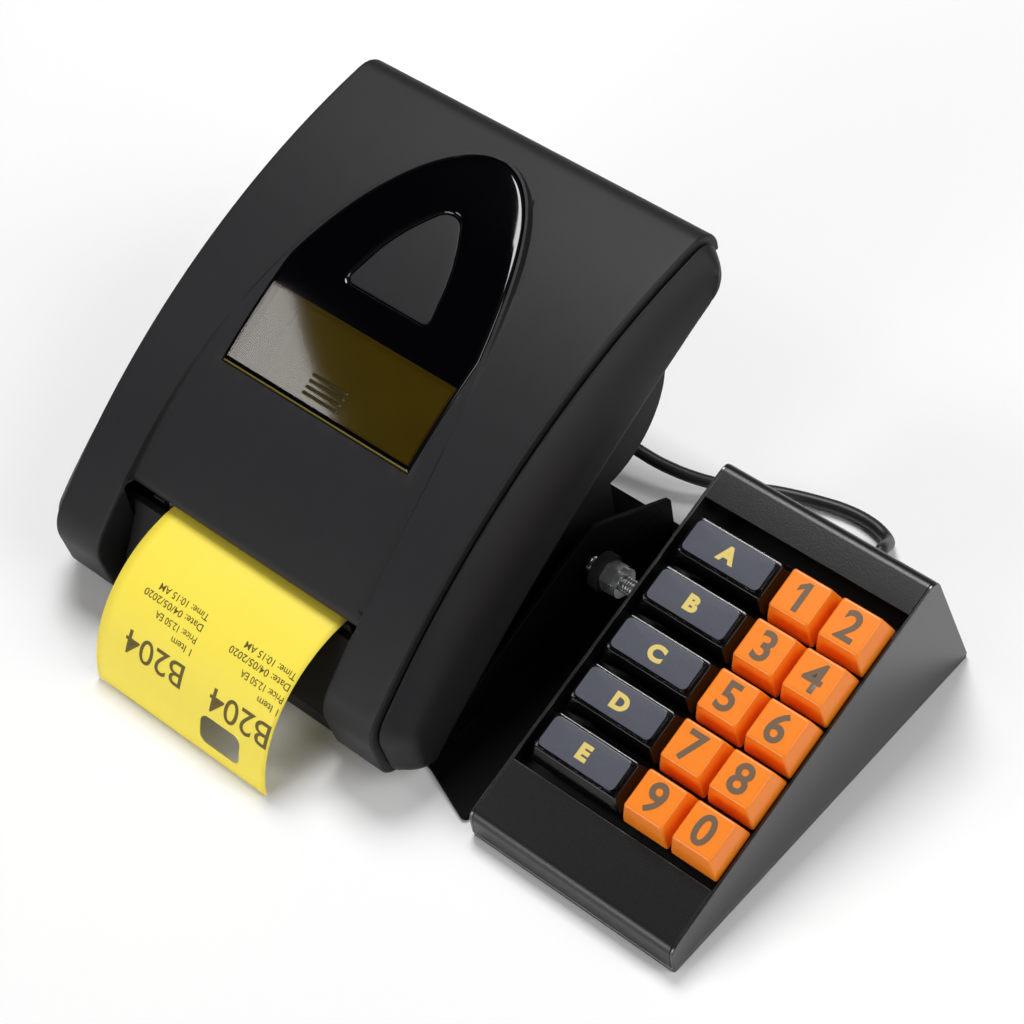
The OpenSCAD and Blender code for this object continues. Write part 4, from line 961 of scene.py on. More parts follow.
@dataclass
class WindowLens:
    """Smoked window: a dark glossy sheet with a triangle opening and a clear amber band below."""

    cover: Cover
    proud: float = 0.25
    round_in: tuple[float, ...] = (0.0, 0.0, 0.1, 0.35, 0.75, 1.25, 1.9)
    round_down: tuple[float, ...] = (-2.2, -1.2, -0.85, -0.5, -0.22, -0.06, 0.0)
    rib_count: int = 4
    rib_half: float = 8.0
    rib_w: float = 0.55
    rib_pitch: float = 1.95
    rib_y: float = 69.2
    rib_sunk: float = 0.02
    base_steps: int = 81
    band_rows: int = 15
    glow_rows: int = 5
    sheet_rows: int = 8
    sheet_y: float = 113.0

    def outline(self) -> Array:
        """Outer edge of the lens as a loop of (x, y), counter-clockwise from its lower left corner."""
        cover = self.cover
        a = cover.arch_w - cover.window_in
        b = cover.arch_l - cover.window_in
        start = math.acos(cover.window_w / a)
        base = np.linspace(-cover.window_w, cover.window_w, self.base_steps)
        side = np.concatenate([
            np.linspace(cover.window_y, cover.band_y, self.band_rows),
            np.linspace(cover.band_y, cover.lip_y + b * math.sin(start), 8)[1:-1],
        ])
        turn = np.linspace(start, HALF_TURN - start, 140)
        crown = pairs(a * np.cos(turn), cover.lip_y + b * np.sin(turn))
        right = pairs(cover.window_w, side)
        left = pairs(-cover.window_w, side[::-1])
        return np.concatenate([pairs(base[1:-1], cover.window_y), right, crown, left])

    def top(self, x: Array, y: Array, down: Array | float) -> Array:
        """Points of the lens at (x, y), a depth below its outer face."""
        t = self.cover.profile.along(y)
        return self.cover.skin(x, t, self.cover.lift(t) + self.proud + down)

    def build(self) -> bpy.types.Object:
        """Lays the rounded edge, the clear band and the dark sheet round the triangle.

        Returns:
            The lens with its dark and amber finishes and a painted yellow glow along its lower edge.
        """
        made = Surface()
        loop = self.outline()
        rows = np.stack([inset_loop(loop, inset) for inset in self.round_in])
        down = np.array(self.round_down)[:, None]
        edge = self.top(rows[..., 0], rows[..., 1], down)
        count = self.base_steps - 2
        sill = np.roll(edge, 1, axis=1)[:, : self.base_steps]
        # The lowest rows of the sill's rounding carry the painted yellow glow of light coming through the
        # edge
        made.grid(sill[:self.glow_rows], 2)
        # The upper rows of the sill's rounding take the opaque dark gloss instead of the amber: a painted
        # shade strip along the foot of the band
        made.grid(sill[self.glow_rows - 1:])
        made.grid(np.concatenate([edge[:, count:], edge[:, :1]], axis=1))
        top = rows[-1]
        band_x = np.concatenate([top[-1:, 0], top[:count, 0], top[count: count + 1, 0]])
        band_y = top[count: count + self.band_rows, 1]
        for depth in (0.0, self.round_down[0]):
            made.grid(self.top(band_x[None, :], band_y[:, None], depth), 1)
        skip = self.band_rows - 1
        upper = top[count + skip: len(top) - skip]
        self._sheet(made, np.concatenate([upper, pairs(band_x[1:-1], band_y[-1])]))
        lens = made.build("window_sheet", [GLOSS, AMBER, PAINTED_EDGE_GLOW], None)
        self._ribs()
        return place(lens, Body.COVER.value, "smoked", "window_lens")

    def _ribs(self) -> None:
        """Lays the low grip ribs across the clear band, each a round-ended bar with a round back."""
        made = Surface()
        turn = quarter_turn(6)
        for row in range(self.rib_count):
            y = self.rib_y + (row - 0.5 * (self.rib_count - 1)) * self.rib_pitch
            loops = np.stack([rounded_loop(self.rib_half - self.rib_w + w, w, w) for w in
                              np.maximum(self.rib_w * np.cos(turn), 0.01)])
            up = self.rib_w * np.sin(turn)[:, None] - self.rib_sunk
            made.grid(self.top(loops[..., 0], loops[..., 1] + y, up), wrap=True)
        ribs = made.build("grip_ribs", [AMBER_RIB], UNDER_COVER)
        place(ribs, Body.COVER.value, "smoked", "window_lens")

    def _sheet(self, made: Surface, upper: Array) -> None:
        """Joins a loop to the triangle opening along rays from the triangle's middle."""
        middle = np.array([0.0, self.sheet_y])
        ray = upper - middle
        span = loop_reach(dense_loop(self.cover.triangle(0.0), 400) - middle, ray)
        heading = unit(ray)
        shares = np.linspace(0.0, 1.0, self.sheet_rows)[:, None]
        radii = np.linalg.norm(ray, axis=1) * (1.0 - shares) + (span + self.round_in[-1]) * shares
        radii = np.vstack([radii, span + np.array(self.round_in[-2::-1])[:, None]])
        down = np.concatenate([np.zeros(self.sheet_rows), self.round_down[-2::-1]])[:, None]
        x = heading[:, 0] * radii
        y = middle[1] + heading[:, 1] * radii
        made.grid(self.top(x, y, np.broadcast_to(down, x.shape)), wrap=True)


@dataclass
class Cheek:
    """Side shell of the printer: a crescent whose outer face rolls over to its upper edge.

    The edge runs round the toe, up the front, over the nose and along the crown to the back.
    The outer face's x follows an arc of the distance to the nearest edge point: it starts at 45
    degrees and ends upright. That arc is deeper along the crown than at the front.
    """

    profile: SideProfile
    hand: float
    inner_x: float = 74.8
    outer_x: float = 83.0
    body_x: float = 68.0
    inset: float = 3.0
    shoulder: float = math.radians(45.0)
    nose_z: float = 4.0
    toe_r: float = 9.0
    tail: tuple[float, float] = (172.0, 92.5)
    sag: float = 6.0
    flange: float = 6.0
    hem: float = 1.5
    depths: tuple[float, ...] = (5.0, 9.0, 12.0, 20.0, 20.0, 10.0)
    lead: float = 0.3
    crown_marks: tuple[float, float] = (45.0, 25.0)
    toe_share: float = 0.04
    tail_share: float = 0.05
    tail_short: float = 1.0
    hem_rows: tuple[float, ...] = (0.0, 0.004, 0.011, 0.022)
    crowding: float = 2.2

    def edge(self, toe_steps: int, steps: int, inward: float) -> tuple[Array, Array]:
        """Upper edge in side view, moved inwards: the toe's arc, then the cover's profile.

        Args:
            toe_steps: Points on the toe.
            steps: Points on each of the front, the nose, the crown and the back corner.
            inward: Distance inside the cover's profile.

        Returns:
            The points (n, 2), and the distance along the edge up to each of them.
        """
        lean = self.profile.lean
        touch = (self.nose_z + self.toe_r * (1.0 - math.sin(lean)) - self.profile.foot_z) / math.cos(lean)
        line = np.stack(self.profile.at(np.array(touch), -self.inset))
        centre = line + self.toe_r * np.array([math.cos(lean), math.sin(lean)])
        turn = np.linspace(-QUARTER_TURN, lean - HALF_TURN, toe_steps)[:-1, None]
        radius = self.toe_r + self.inset - inward
        toe = centre + radius * np.hstack([np.cos(turn), np.sin(turn)])
        stops = self.profile.stops
        t = np.concatenate([
            np.linspace(touch, stops[1], steps)[:-1],
            np.linspace(stops[1], stops[2], steps)[:-1],
            np.linspace(stops[2], stops[3], 3 * steps)[:-1],
            np.linspace(stops[3], stops[4] - self.tail_short, steps)])
        points = np.vstack([toe, pairs(*self.profile.at(t, -inward))])
        run = np.concatenate([np.linspace(-QUARTER_TURN * self.toe_r, 0.0, toe_steps)[:-1], t - touch])
        return points, run

    def lower(self, share: Array, start: Array) -> Array:
        """Lower edge at a share of its length: a shallow arc that rises from the toe to the tail."""
        chord = np.array(self.tail) - start
        lift = np.array([-chord[1], chord[0]]) / float(np.linalg.norm(chord))
        bow = 4.0 * self.sag * share * (1.0 - share)
        return start + share[:, None] * chord + bow[:, None] * lift

    def swell(self, y: Array, z: Array) -> Array:
        """Outer x of points in side view, from their distance to the upper edge."""
        points, run = self.edge(24, 100, self.inset)
        stops = self.profile.stops
        first, last = self.crown_marks
        marks = np.array([run[0], 0.0, stops[2], stops[2] + first, stops[3] - last, stops[4]])
        gap = np.hypot(y[..., None] - points[:, 0], z[..., None] - points[:, 1])
        spot = run[gap.argmin(axis=-1)]
        deep = np.clip(gap.min(axis=-1) / np.interp(spot, marks, self.depths), 0.0, 1.0)
        upright = np.sqrt(1.0 - ((1.0 - deep) * math.sin(self.shoulder)) ** 2)
        start = math.cos(self.shoulder)
        flat = self.inner_x + self.lead
        return flat + (self.outer_x - flat) * (upright - start) / (1.0 - start)

    def build(self) -> bpy.types.Object:
        """Lays the outer face between the lower and the upper edge, then its flanges.

        Returns:
            The cheek as a closed surface.
        """
        top, run = self.edge(12, 24, self.inset)
        wall, _ = self.edge(12, 24, self.inset + self.flange)
        share = (run - run[0]) / (run[-1] - run[0])
        low = self.lower(share, top[0])
        ends = np.clip((1.0 - share) / self.tail_share, 0.0, 1.0)[:, None]
        low = top[-1] * (1.0 - ends) + low * ends
        wall = low + (wall - low) * np.clip(share / self.toe_share, 0.0, 1.0)[:, None]
        rise = 1.0 - (1.0 - np.linspace(0.0, 1.0, 36)) ** self.crowding
        rise = np.concatenate([self.hem_rows, rise[1:]])[:, None]
        y = low[:, 0] + (top - low)[:, 0] * rise
        z = low[:, 1] + (top - low)[:, 1] * rise
        near = np.clip(rise * np.linalg.norm(top - low, axis=1) / self.hem, 0.0, 1.0)
        x = self.swell(y, z) - self.hem * (1.0 - np.sqrt(1.0 - (1.0 - near) ** 2))
        crest = x[-1] + (self.inner_x - x[-1]) * np.array([0.5, 1.0])[:, None]
        flat = np.full((1, len(top)), self.body_x)
        made = Surface()
        made.grid(np.concatenate([
            self._side(flat, low[:, 0], low[:, 1]),
            self._side(x, y, z),
            self._side(crest, top[:, 0], top[:, 1]),
            self._side(flat - self.body_x + self.inner_x, wall[:, 0], wall[:, 1]),
            self._side(flat, wall[:, 0], wall[:, 1]),
            self._side(flat, low[:, 0], low[:, 1]),
        ]))
        name = "right_cheek" if self.hand > 0 else "left_cheek"
        inside = self._side(72.0, 80.0, 62.0)
        return place(made.build(f"{name}_shell", [CHARCOAL], inside), Body.BASE.value, "shell", name)

    def _side(self, x: Array | float, y: Array | float, z: Array | float) -> Array:
        """Points of the part's frame on this hand."""
        return in_printer(self.hand * x, y, z)


@dataclass
class Ticket:
    """Yellow paper from the roll over the platen to the hanging ticket, with its print.

    The centre line is a chain of arcs and straights; the paper is a strip along it.
    """

    x: float = 4.0
    width: float = 80.0
    paper_z: float = 42.427
    hang_y: float = 22.0
    hang_r: float = 45.985
    hang_turn: float = 85.0
    flat_y: float = 42.0
    rise_r: float = 12.0
    wrap: float = 0.45
    thick: float = 0.16
    hole_x: float = 19.0
    hole_run: float = 11.18
    hole_half: tuple[float, float] = (9.0, 5.62)
    hole_r: float = 3.0
    starts: tuple[float, float] = (-0.8, 39.0)
    margin: float = 3.0
    slope_step: float = 0.4
    ink_up: float = 0.05
    ink_cell: float = 1.4
    lines: tuple[tuple[str, float, float, float, float], ...] = (
        ("B204", 8.6, 0.04, 23.6, 27.0),
        ("1 Item", 2.4, 0.02, 33.0, 9.2),
        ("Price: 12.50 EA", 2.4, 0.02, 37.3, 19.0),
        ("Date: 04/05/2020", 2.4, 0.02, 41.8, 27.0),
        ("Time: 10:15 AM", 2.4, 0.02, 45.7, 22.6),
    )

    def __post_init__(self) -> None:
        """Lays the centre line densely, up to where it touches the roll, and measures it."""
        turn = np.radians(np.linspace(90.0 + self.hang_turn, 90.0, 120))
        hang = pairs(self.hang_y + self.hang_r * np.cos(turn),
                     self.paper_z - self.hang_r + self.hang_r * np.sin(turn))
        ahead = np.array([ROLL_Y - self.flat_y, ROLL_Z - self.paper_z - self.rise_r])
        wrap_r = ROLL_R + self.wrap
        rise_turn = math.atan2(ahead[1], ahead[0]) + math.asin(
            (wrap_r + self.rise_r) / float(np.linalg.norm(ahead)))
        bend = np.linspace(0.0, rise_turn, 40)
        rise = pairs(self.flat_y + self.rise_r * np.sin(bend),
                     self.paper_z + self.rise_r * (1.0 - np.cos(bend)))
        touch = np.array([[ROLL_Y - wrap_r * math.sin(rise_turn), ROLL_Z + wrap_r * math.cos(rise_turn)]])
        self._line = np.concatenate([hang, rise, touch])
        steps = np.linalg.norm(np.diff(self._line, axis=0), axis=1)
        self._run = np.concatenate([[0.0], np.cumsum(steps)])

    @property
    def length(self) -> float:
        """Length of the paper from its free end to the roll."""
        return float(self._run[-1])

    def at(self, x: Array, run: Array, up: float = 0.0) -> Array:
        """Points of the paper at x and at a distance from its free end, lifted off its face."""
        step = self.slope_step
        y, y_back, y_on = (np.interp(run + d, self._run, self._line[:, 0]) for d in (0.0, -step, step))
        z, z_back, z_on = (np.interp(run + d, self._run, self._line[:, 1]) for d in (0.0, -step, step))
        size = np.maximum(np.hypot(y_on - y_back, z_on - z_back), 1e-6)
        return in_printer(self.x + x, y - up * (z_on - z_back) / size, z + up * (y_on - y_back) / size)

    def build(self) -> bpy.types.Object:
        """Lays the strip with the hole punched in it near its free end.

        Returns:
            The paper, a thin sheet.
        """
        made = Surface()
        half = self.width / 2.0
        inner = self.hole_x + np.linspace(-1.0, 1.0, 45) * (self.hole_half[0] + self.margin)
        window = self.hole_run + np.linspace(-1.0, 1.0, 33) * (self.hole_half[1] + self.margin)
        rows = [np.linspace(0.0, window[0], 4), np.linspace(window[-1], self.length, 120)]
        all_rows = np.concatenate([rows[0], window[1:-1], rows[1]])
        for strip in (np.linspace(-half, inner[0], 12), np.linspace(inner[-1], half, 4)):
            made.grid(self.at(strip[None, :], all_rows[:, None]))
        for part in rows:
            made.grid(self.at(inner[None, :], part[:, None]))
        self._punch(made, inner, window)
        sheet = made.build("ticket_strip", [PAPER], in_printer(0.0, 40.0, 0.0), self.thick)
        place(sheet, Body.BASE.value, "paper", "ticket")
        ink = self._print()
        LOG.info("ticket length %.4f m", self.length * MM)
        return sheet

    def _punch(self, made: Surface, inner: Array, window: Array) -> None:
        """Lays a ring between a rectangle of the strip and the round-cornered hole in it."""
        border = np.concatenate([
            pairs(inner[:-1], window[0]),
            pairs(inner[-1], window[:-1]),
            pairs(inner[:0:-1], window[-1]),
            pairs(inner[0], window[:0:-1])])
        middle = np.array([self.hole_x, self.hole_run])
        ray = border - middle
        reach = loop_reach(dense_loop(rounded_loop(*self.hole_half, self.hole_r, 12), 300), ray)
        edge = middle + unit(ray) * reach[:, None]
        share = np.linspace(0.0, 1.0, 5)[:, None, None]
        loops = border * (1.0 - share) + edge * share
        made.grid(self.at(loops[..., 0], loops[..., 1]), wrap=True)

    def _print(self) -> bpy.types.Object:
        """Writes made-up lines on both halves, upside down as seen from the front.

        Each line has its words, the height and extra weight of its letters, its distance from the
        ticket's free end and its width.
        """
        made = Surface()
        for start in self.starts:
            for words, height, weight, run, width in self.lines:
                flat, triangles = lettering(words, height, weight, self.ink_cell)
                across = (flat[:, 0] - flat[:, 0].min()) * width / np.ptp(flat[:, 0])
                made.faces(self.at(start - across, run - flat[:, 1], self.ink_up), triangles)
        return place(made.build("ticket_print", [INK], None), Body.BASE.value, "paper", "ticket")


# Half width, half depth and radius of a level that closes a key in its middle
TIP = (0.02, 0.02, 0.01)


@dataclass
class Keypad:
    """Sloped keypad: number keys, label keys under clear caps, and the folded sheet case.

    A key is a stack of rounded rectangles, its levels. Each level has half a width, half a depth, a
    corner radius, a height over the slope and a shift up the slope.
    """

    slope: float = math.radians(18.0)
    front_h: float = 11.4
    row_top: float = 110.5
    pitch: float = 19.05
    label_x: float = -17.375
    digit_x: tuple[float, float] = (11.2, 30.25)
    cap_half: float = 9.0
    cap_low: float = -1.4
    cap_high: float = 8.4
    label_half: float = 18.525
    label_high: float = 6.0
    label_back: float = 0.8
    card_up: float = 1.5
    digit_h: float = 9.8
    digit_weight: float = 0.30
    digit_up: float = 0.04
    top_shift: float = 1.0
    letter_h: float = 5.0
    letter_weight: float = 0.42
    letter_wide: float = 1.15
    letter_up: float = 0.33
    fold_r: float = 0.35

    def on_slope(self, x: Array | float, s: Array | float, n: Array | float) -> Array:
        """Part points for x, distance up the slope and height off it."""
        x, s, n = np.broadcast_arrays(x, s, n)
        y = s * math.cos(self.slope) - n * math.sin(self.slope)
        z = s * math.sin(self.slope) + n * math.cos(self.slope)
        return np.stack([x + KEYPAD_X, y + KEYPAD_Y, z + self.front_h], axis=-1)

    def stack(self, levels: list[tuple[float, ...]], spot: tuple[float, float]) -> Surface:
        """Joins the rounded rectangles of a key's levels into one surface.

        Args:
            levels: Half width, half depth, radius, height and shift of each rectangle.
            spot: The key's place across and up the slope.

        Returns:
            The surface, ready for more faces.
        """
        rings = np.stack([rounded_loop(*level[:3]) for level in levels])
        height, shift = np.array(levels)[:, 3:, None].swapaxes(0, 1)
        across = rings[..., 0] + spot[0]
        upward = rings[..., 1] + spot[1] + shift
        made = Surface()
        made.grid(self.on_slope(across, upward, height), wrap=True)
        return made

    def build(self) -> None:
        """Builds all keys and dresses the case."""
        for index, digit in enumerate("1234567890"):
            spot = (self.digit_x[index % 2], self.row_top - self.pitch * (index // 2))
            self.number_key(digit, spot)
        for index, letter in enumerate("ABCDE"):
            self.label_key(letter, (self.label_x, self.row_top - self.pitch * index))
        self.case()

    def number_key(self, digit: str, spot: tuple[float, float]) -> None:
        """Makes an orange key: a hollow tapered cap with crisp shoulders and a flat top set back."""
        low = self.cap_low
        high = self.cap_high
        half = self.cap_half
        back = self.top_shift
        key = self.stack([
            (*TIP, high - 2.2, 0.9),
            (5.6, 5.4, 0.8, high - 2.2, 0.9),
            (7.7, 7.7, 0.8, low, 0.0),
            (half - 0.25, half - 0.25, 0.8, low, 0.0),
            (half, half, 0.9, low + 0.3, 0.0),
            (8.75, 8.68, 0.9, low + 2.4, 0.15),
            (7.56, 7.16, 0.9, high - 0.75, 0.9),
            (7.38, 6.98, 0.9, high - 0.36, 0.97),
            (7.16, 6.76, 0.9, high - 0.12, back),
            (6.88, 6.48, 0.8, high - 0.02, back),
            (6.5, 6.1, 0.7, high, back),
            (3.6, 3.4, 0.5, high - 0.05, back),
            (*TIP, high - 0.07, back),
        ], spot)
        node = f"key_{digit}"
        middle = self.on_slope(*spot, high - 1.2)
        place(key.build(f"cap_{digit}", [ORANGE], middle), node, "key_orange", node)
        flat, triangles = self.figure(digit)
        mark = Surface()
        flat = flat + np.array(spot) + np.array([0.0, back])
        mark.faces(self.on_slope(flat[:, 0], flat[:, 1], high + self.digit_up), triangles)
        place(mark.build(f"digit_{digit}", [LEGEND], None), node, "key_orange", node)

    def figure(self, digit: str) -> tuple[Array, Array]:
        """Flat outline of a digit about its middle; a one is a stem with a flag."""
        if digit == "1":
            corners = np.array([(-0.30, -5.2), (1.65, -5.2), (1.65, 5.2), (0.05, 5.2), (-2.35, 3.2),
                                (-2.35, 1.1), (-0.30, 2.9)])
            return corners, np.array([(0, 1, 2), (0, 2, 6), (6, 2, 3), (6, 3, 4), (6, 4, 5)])
        flat, triangles = lettering(digit, self.digit_h, self.digit_weight, 12.0)
        return flat - 0.5 * (flat.min(axis=0) + flat.max(axis=0)), triangles

    def label_key(self, letter: str, spot: tuple[float, float]) -> None:
        """Makes a label key: black base with a platform, card with a letter, and a clear cap over it."""
        low = self.cap_low
        top = self.label_high
        half = self.label_half
        back = self.label_back
        card_z = top + self.card_up
        base = self.stack([
            (*TIP, top - 2.0, back),
            (15.0, 4.8, 1.0, top - 2.0, back),
            (half - 1.3, 7.7, 1.0, low, 0.0),
            (half - 0.25, 8.75, 1.2, low, 0.0),
            (half, 9.0, 1.3, low + 0.3, 0.0),
            (half - 0.5, 8.5, 1.4, low + 3.0, 0.2),
            (half - 1.75, 6.85, 1.5, top - 0.4, 0.75),
            (half - 1.85, 6.70, 1.5, top - 0.1, back),
            (half - 2.0, 6.55, 1.5, top, back),
            (15.5, 5.8, 1.9, top, back),
            (15.4, 5.7, 1.9, card_z - 0.1, back),
            (15.2, 5.5, 1.8, card_z, back),
            (*TIP, card_z, back),
        ], spot)
        node = f"key_{letter.lower()}"
        middle = self.on_slope(*spot, top - 1.0)
        place(base.build(f"label_{letter}", [LABEL_BLACK], middle), node, "label_base", f"{node}_base")
        card = self.stack([
            (15.2, 5.5, 1.8, card_z + 0.02, back),
            (15.2, 5.5, 1.8, card_z + 0.24, back),
            (15.1, 5.4, 1.8, card_z + 0.28, back),
            (*TIP, card_z + 0.28, back),
        ], spot)
        flat, triangles = lettering(letter, self.letter_h, self.letter_weight, 8.0)
        flat -= 0.5 * (flat.min(axis=0) + flat.max(axis=0))
        ink_x = spot[0] + self.letter_wide * flat[:, 0]
        ink = self.on_slope(ink_x, spot[1] + back + flat[:, 1], card_z + self.letter_up)
        card.faces(ink, triangles, 1)
        place(card.build(f"card_{letter}", [CARD, CARD_INK], None), node, "label_base", f"{node}_base")
        cap = self.stack([
            (half - 1.85, 6.70, 1.6, top + 0.05, back),
            (half - 2.0, 6.60, 1.7, top + 1.7, back),
            (half - 2.12, 6.48, 1.7, top + 2.12, back),
            (half - 2.4, 6.20, 1.7, top + 2.34, back),
            (half - 2.8, 5.80, 1.6, top + 2.4, back),
            (9.0, 3.0, 1.5, top + 2.4, back),
            (*TIP, top + 2.4, back),
        ], spot)
        middle = self.on_slope(*spot, top)
        place(cap.build(f"clear_{letter}", [CLEAR], middle), node, "label_clear", f"{node}_cap")

    def case(self) -> None:
        """Replaces the folded sheets by copies with rolled edges and paints what is inside."""
        for node in ("keypad_left_wall", "keypad_right_wall", "keypad_floor"):
            softened(node, Body.BASE.value, "powder_coat", COATED, self.fold_r)
        for node in ("keypad_front_panel", "keypad_rear_panel"):
            softened(node, Body.BASE.value, "powder_coat", COATED_TOP, self.fold_r)
        paint(COATED_TOP, "key_plate")
        paint(SOCKET, "key_switches")
        paint(CIRCUIT, "keypad_board")


@dataclass
class Link:
    """Bracket, bolt with its nuts, and the cable between printer and keypad."""

    bolt_y: float = 99.0
    bolt_z: float = 21.0
    bolt_r: float = 3.0
    pitch: float = 1.0
    thread: float = 0.5
    shank_x: float = 79.3
    shank_tip: float = 0.4
    head_x: float = 76.9
    head_half: float = 4.9
    hub_r: float = 0.02
    edge_r: float = 0.4
    nut_r: float = 0.35
    cable_r: float = 2.25
    plug_end: tuple[float, float, float] = (-30.25, NOSE_Y + 136.0, 18.0)
    gland: tuple[float, float, float] = (94.8, KEYPAD_Y + 144.78, 10.0)
    gland_out: float = 7.0
    lean: float = math.radians(14.79)

    def bolt(self) -> None:
        """Makes the threaded shank as a helix of triangular ridges, and the six-sided head.

        The radius falls from bolt_r by up to the thread's depth, as a triangle wave of x / pitch less
        the angle's share of a turn.
        """
        low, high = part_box("clamp_bolt")
        axis = (self.bolt_y, self.bolt_z)
        end = high.x / MM - PRINTER_X
        x = np.arange(self.shank_x, end - self.shank_tip, 0.2)
        phase = np.mod(x[:, None] / self.pitch - full_turn(32) / FULL_TURN, 1.0)
        radius = self.bolt_r - self.thread * np.abs(2.0 * phase - 1.0)
        hub = np.full_like(radius[:1], self.hub_r)
        shank = Surface()
        shank.grid(turned(np.concatenate([x[:1], x, [end, end]]),
                          np.vstack([hub, radius, 0.8 * radius[-1:], hub]), axis), wrap=True)
        self._zinc(shank, "bolt_thread", 95.0)
        first = low.x / MM - PRINTER_X
        flat = self.head_half / np.cos(np.mod(full_turn(48), math.pi / 3.0) - math.pi / 6.0)
        hub = np.full_like(flat, self.hub_r)
        radius = np.stack([hub, np.minimum(flat, 4.7), np.minimum(flat, 5.25), flat, flat, hub])
        head = Surface()
        head.grid(turned(np.array([first, first, first + 0.5, first + 0.8, self.head_x, self.head_x]),
                         radius, axis), wrap=True)
        self._zinc(head, "bolt_head", 75.0)

    def _zinc(self, made: Surface, name: str, inside_x: float) -> None:
        """Finishes a piece of the bolt whose faces look away from a point on its axis."""
        inside = in_printer(inside_x, self.bolt_y, self.bolt_z)
        place(made.build(name, [ZINC], inside), Body.BASE.value, "zinc", "clamp_bolt")

    def route(self) -> Array:
        """Centre line of the cable: a smooth curve through given points, in mm."""
        heading = np.array([0.0, math.cos(self.lean), math.sin(self.lean)])
        start = np.array(self.plug_end)
        end = np.array(self.gland) + self.gland_out * heading
        near = np.array([
            (0.0, 0.0, 0.0), (0.0, 1.5, 0.0), (0.3, 4.5, 0.0), (3.2, 9.0, -0.4), (9.2, 12.4, -1.4),
            (18.2, 13.8, -3.4), (28.2, 14.4, -5.6), (39.2, 15.4, -7.8), (49.2, 18.0, -10.0)])
        far = np.array([
            (-66.8, 0.5, -6.0), (-57.8, 6.0, -7.8), (-48.8, 11.5, -8.9), (-36.8, 16.0, -9.2),
            (-24.8, 19.0, -9.2), (-13.8, 19.0, -8.9), (-5.3, 15.5, -7.6)])
        last = np.array([(-0.7, 0.0, -0.9), (0.0, 0.0, 0.0), (0.0, 0.0, 0.0), (0.0, 0.0, 0.0)])
        last = last + np.array([7.0, 3.0, 1.0, -1.8])[:, None] * heading
        points = np.vstack([start + near, end + far, end + last])
        before = np.vstack([2.0 * points[:1] - points[1:2], points[:-2]])
        after = np.vstack([points[2:], 2.0 * points[-1:] - points[-2:-1]])
        share = np.linspace(0.0, 1.0, 8, endpoint=False)[None, :, None]
        a, b = points[:-1, None], points[1:, None]
        p, q = before[:, None], after[:, None]
        curve = 0.5 * (2.0 * a + (b - p) * share + (2.0 * p - 5.0 * a + 4.0 * b - q) * share ** 2
                       + (3.0 * a - p - 3.0 * b + q) * share ** 3)
        return np.vstack([curve.reshape(-1, 3), points[-1:]])

    @staticmethod
    def sweep(line: Array, radius: Array, sides: int = 20) -> Array:
        """Rings about a line, each across its direction, without twist about the vertical.

        Args:
            line: Centre line (n, 3).
            radius: Radius at each point (n,).
            sides: Points of a ring.

        Returns:
            Array of (n, sides, 3).
        """
        ahead = unit(np.gradient(line, axis=0))
        across = unit(np.cross(ahead, np.array([0.0, 0.0, 1.0])))
        up = np.cross(across, ahead)
        turn = full_turn(sides)
        ring = np.cos(turn)[None, :, None] * across[:, None] + np.sin(turn)[None, :, None] * up[:, None]
        return line[:, None] + radius[:, None, None] * ring

    def cable(self) -> None:
        line = self.route()
        size = np.full(len(line), self.cable_r)
        made = Surface()
        rings = self.sweep(line, size)
        middle = line[[0, -1], None]
        caps = middle + 0.01 * (rings[[0, -1]] - middle)
        made.grid(np.concatenate([caps[:1], rings, caps[1:]]), wrap=True)
        cord = made.build("cable_run", [CABLE], np.array([0.0, 60.0, 8.0]))
        place(cord, Body.BASE.value, "rubber", "keypad_cable")
        plug = softened("cable_plug", Body.BASE.value, "socket", SOCKET, self.edge_r)
        gland = softened("cable_gland", Body.BASE.value, "rubber", RUBBER, self.edge_r)

    def build(self) -> None:
        """Builds the bolt and the cable and dresses the bracket."""
        self.bolt()
        self.cable()
        softened("mounting_bracket", Body.BASE.value, "steel", BRACKET_BLACK_AND_SHADE, self.edge_r)
        softened("bolt_nuts", Body.BASE.value, "zinc", ZINC, self.nut_r)
        softened("bolt_collar", Body.BASE.value, "rubber", RUBBER, self.edge_r)


@dataclass
class Printer:
    """The printer: cover, lens, cheeks, ticket and the works inside."""

    works: tuple[tuple[Finish, tuple[str, ...]], ...] = (
        (BODY_BLACK, ("base_housing",)),
        (RUBBER, ("printer_feet", "platen_roller")),
        (STEEL, ("mech_frame", "hinge_pin", "platen_shaft", "roll_spindle")),
        (DARK_STEEL, ("stepper_motor", "print_head", "head_bracket", "tear_bar")),
        (ACETAL, ("platen_gear", "idler_gear", "motor_pinion")),
        (ROLL_PAPER, ("paper_roll",)),
        (CARDBOARD, ("roll_core",)),
        (CIRCUIT, ("main_board",)),
        (SOCKET, ("power_inlet", "keypad_port", "power_switch")),
    )

    def build(self) -> None:
        """Builds the outer pieces and paints the inner ones."""
        profile = SideProfile()
        cover = Cover(profile)
        cover.build()
        WindowLens(cover).build()
        for hand in (1.0, -1.0):
            Cheek(profile, hand).build()
        Ticket().build()
        for finish, nodes in self.works:
            paint(finish, *nodes)


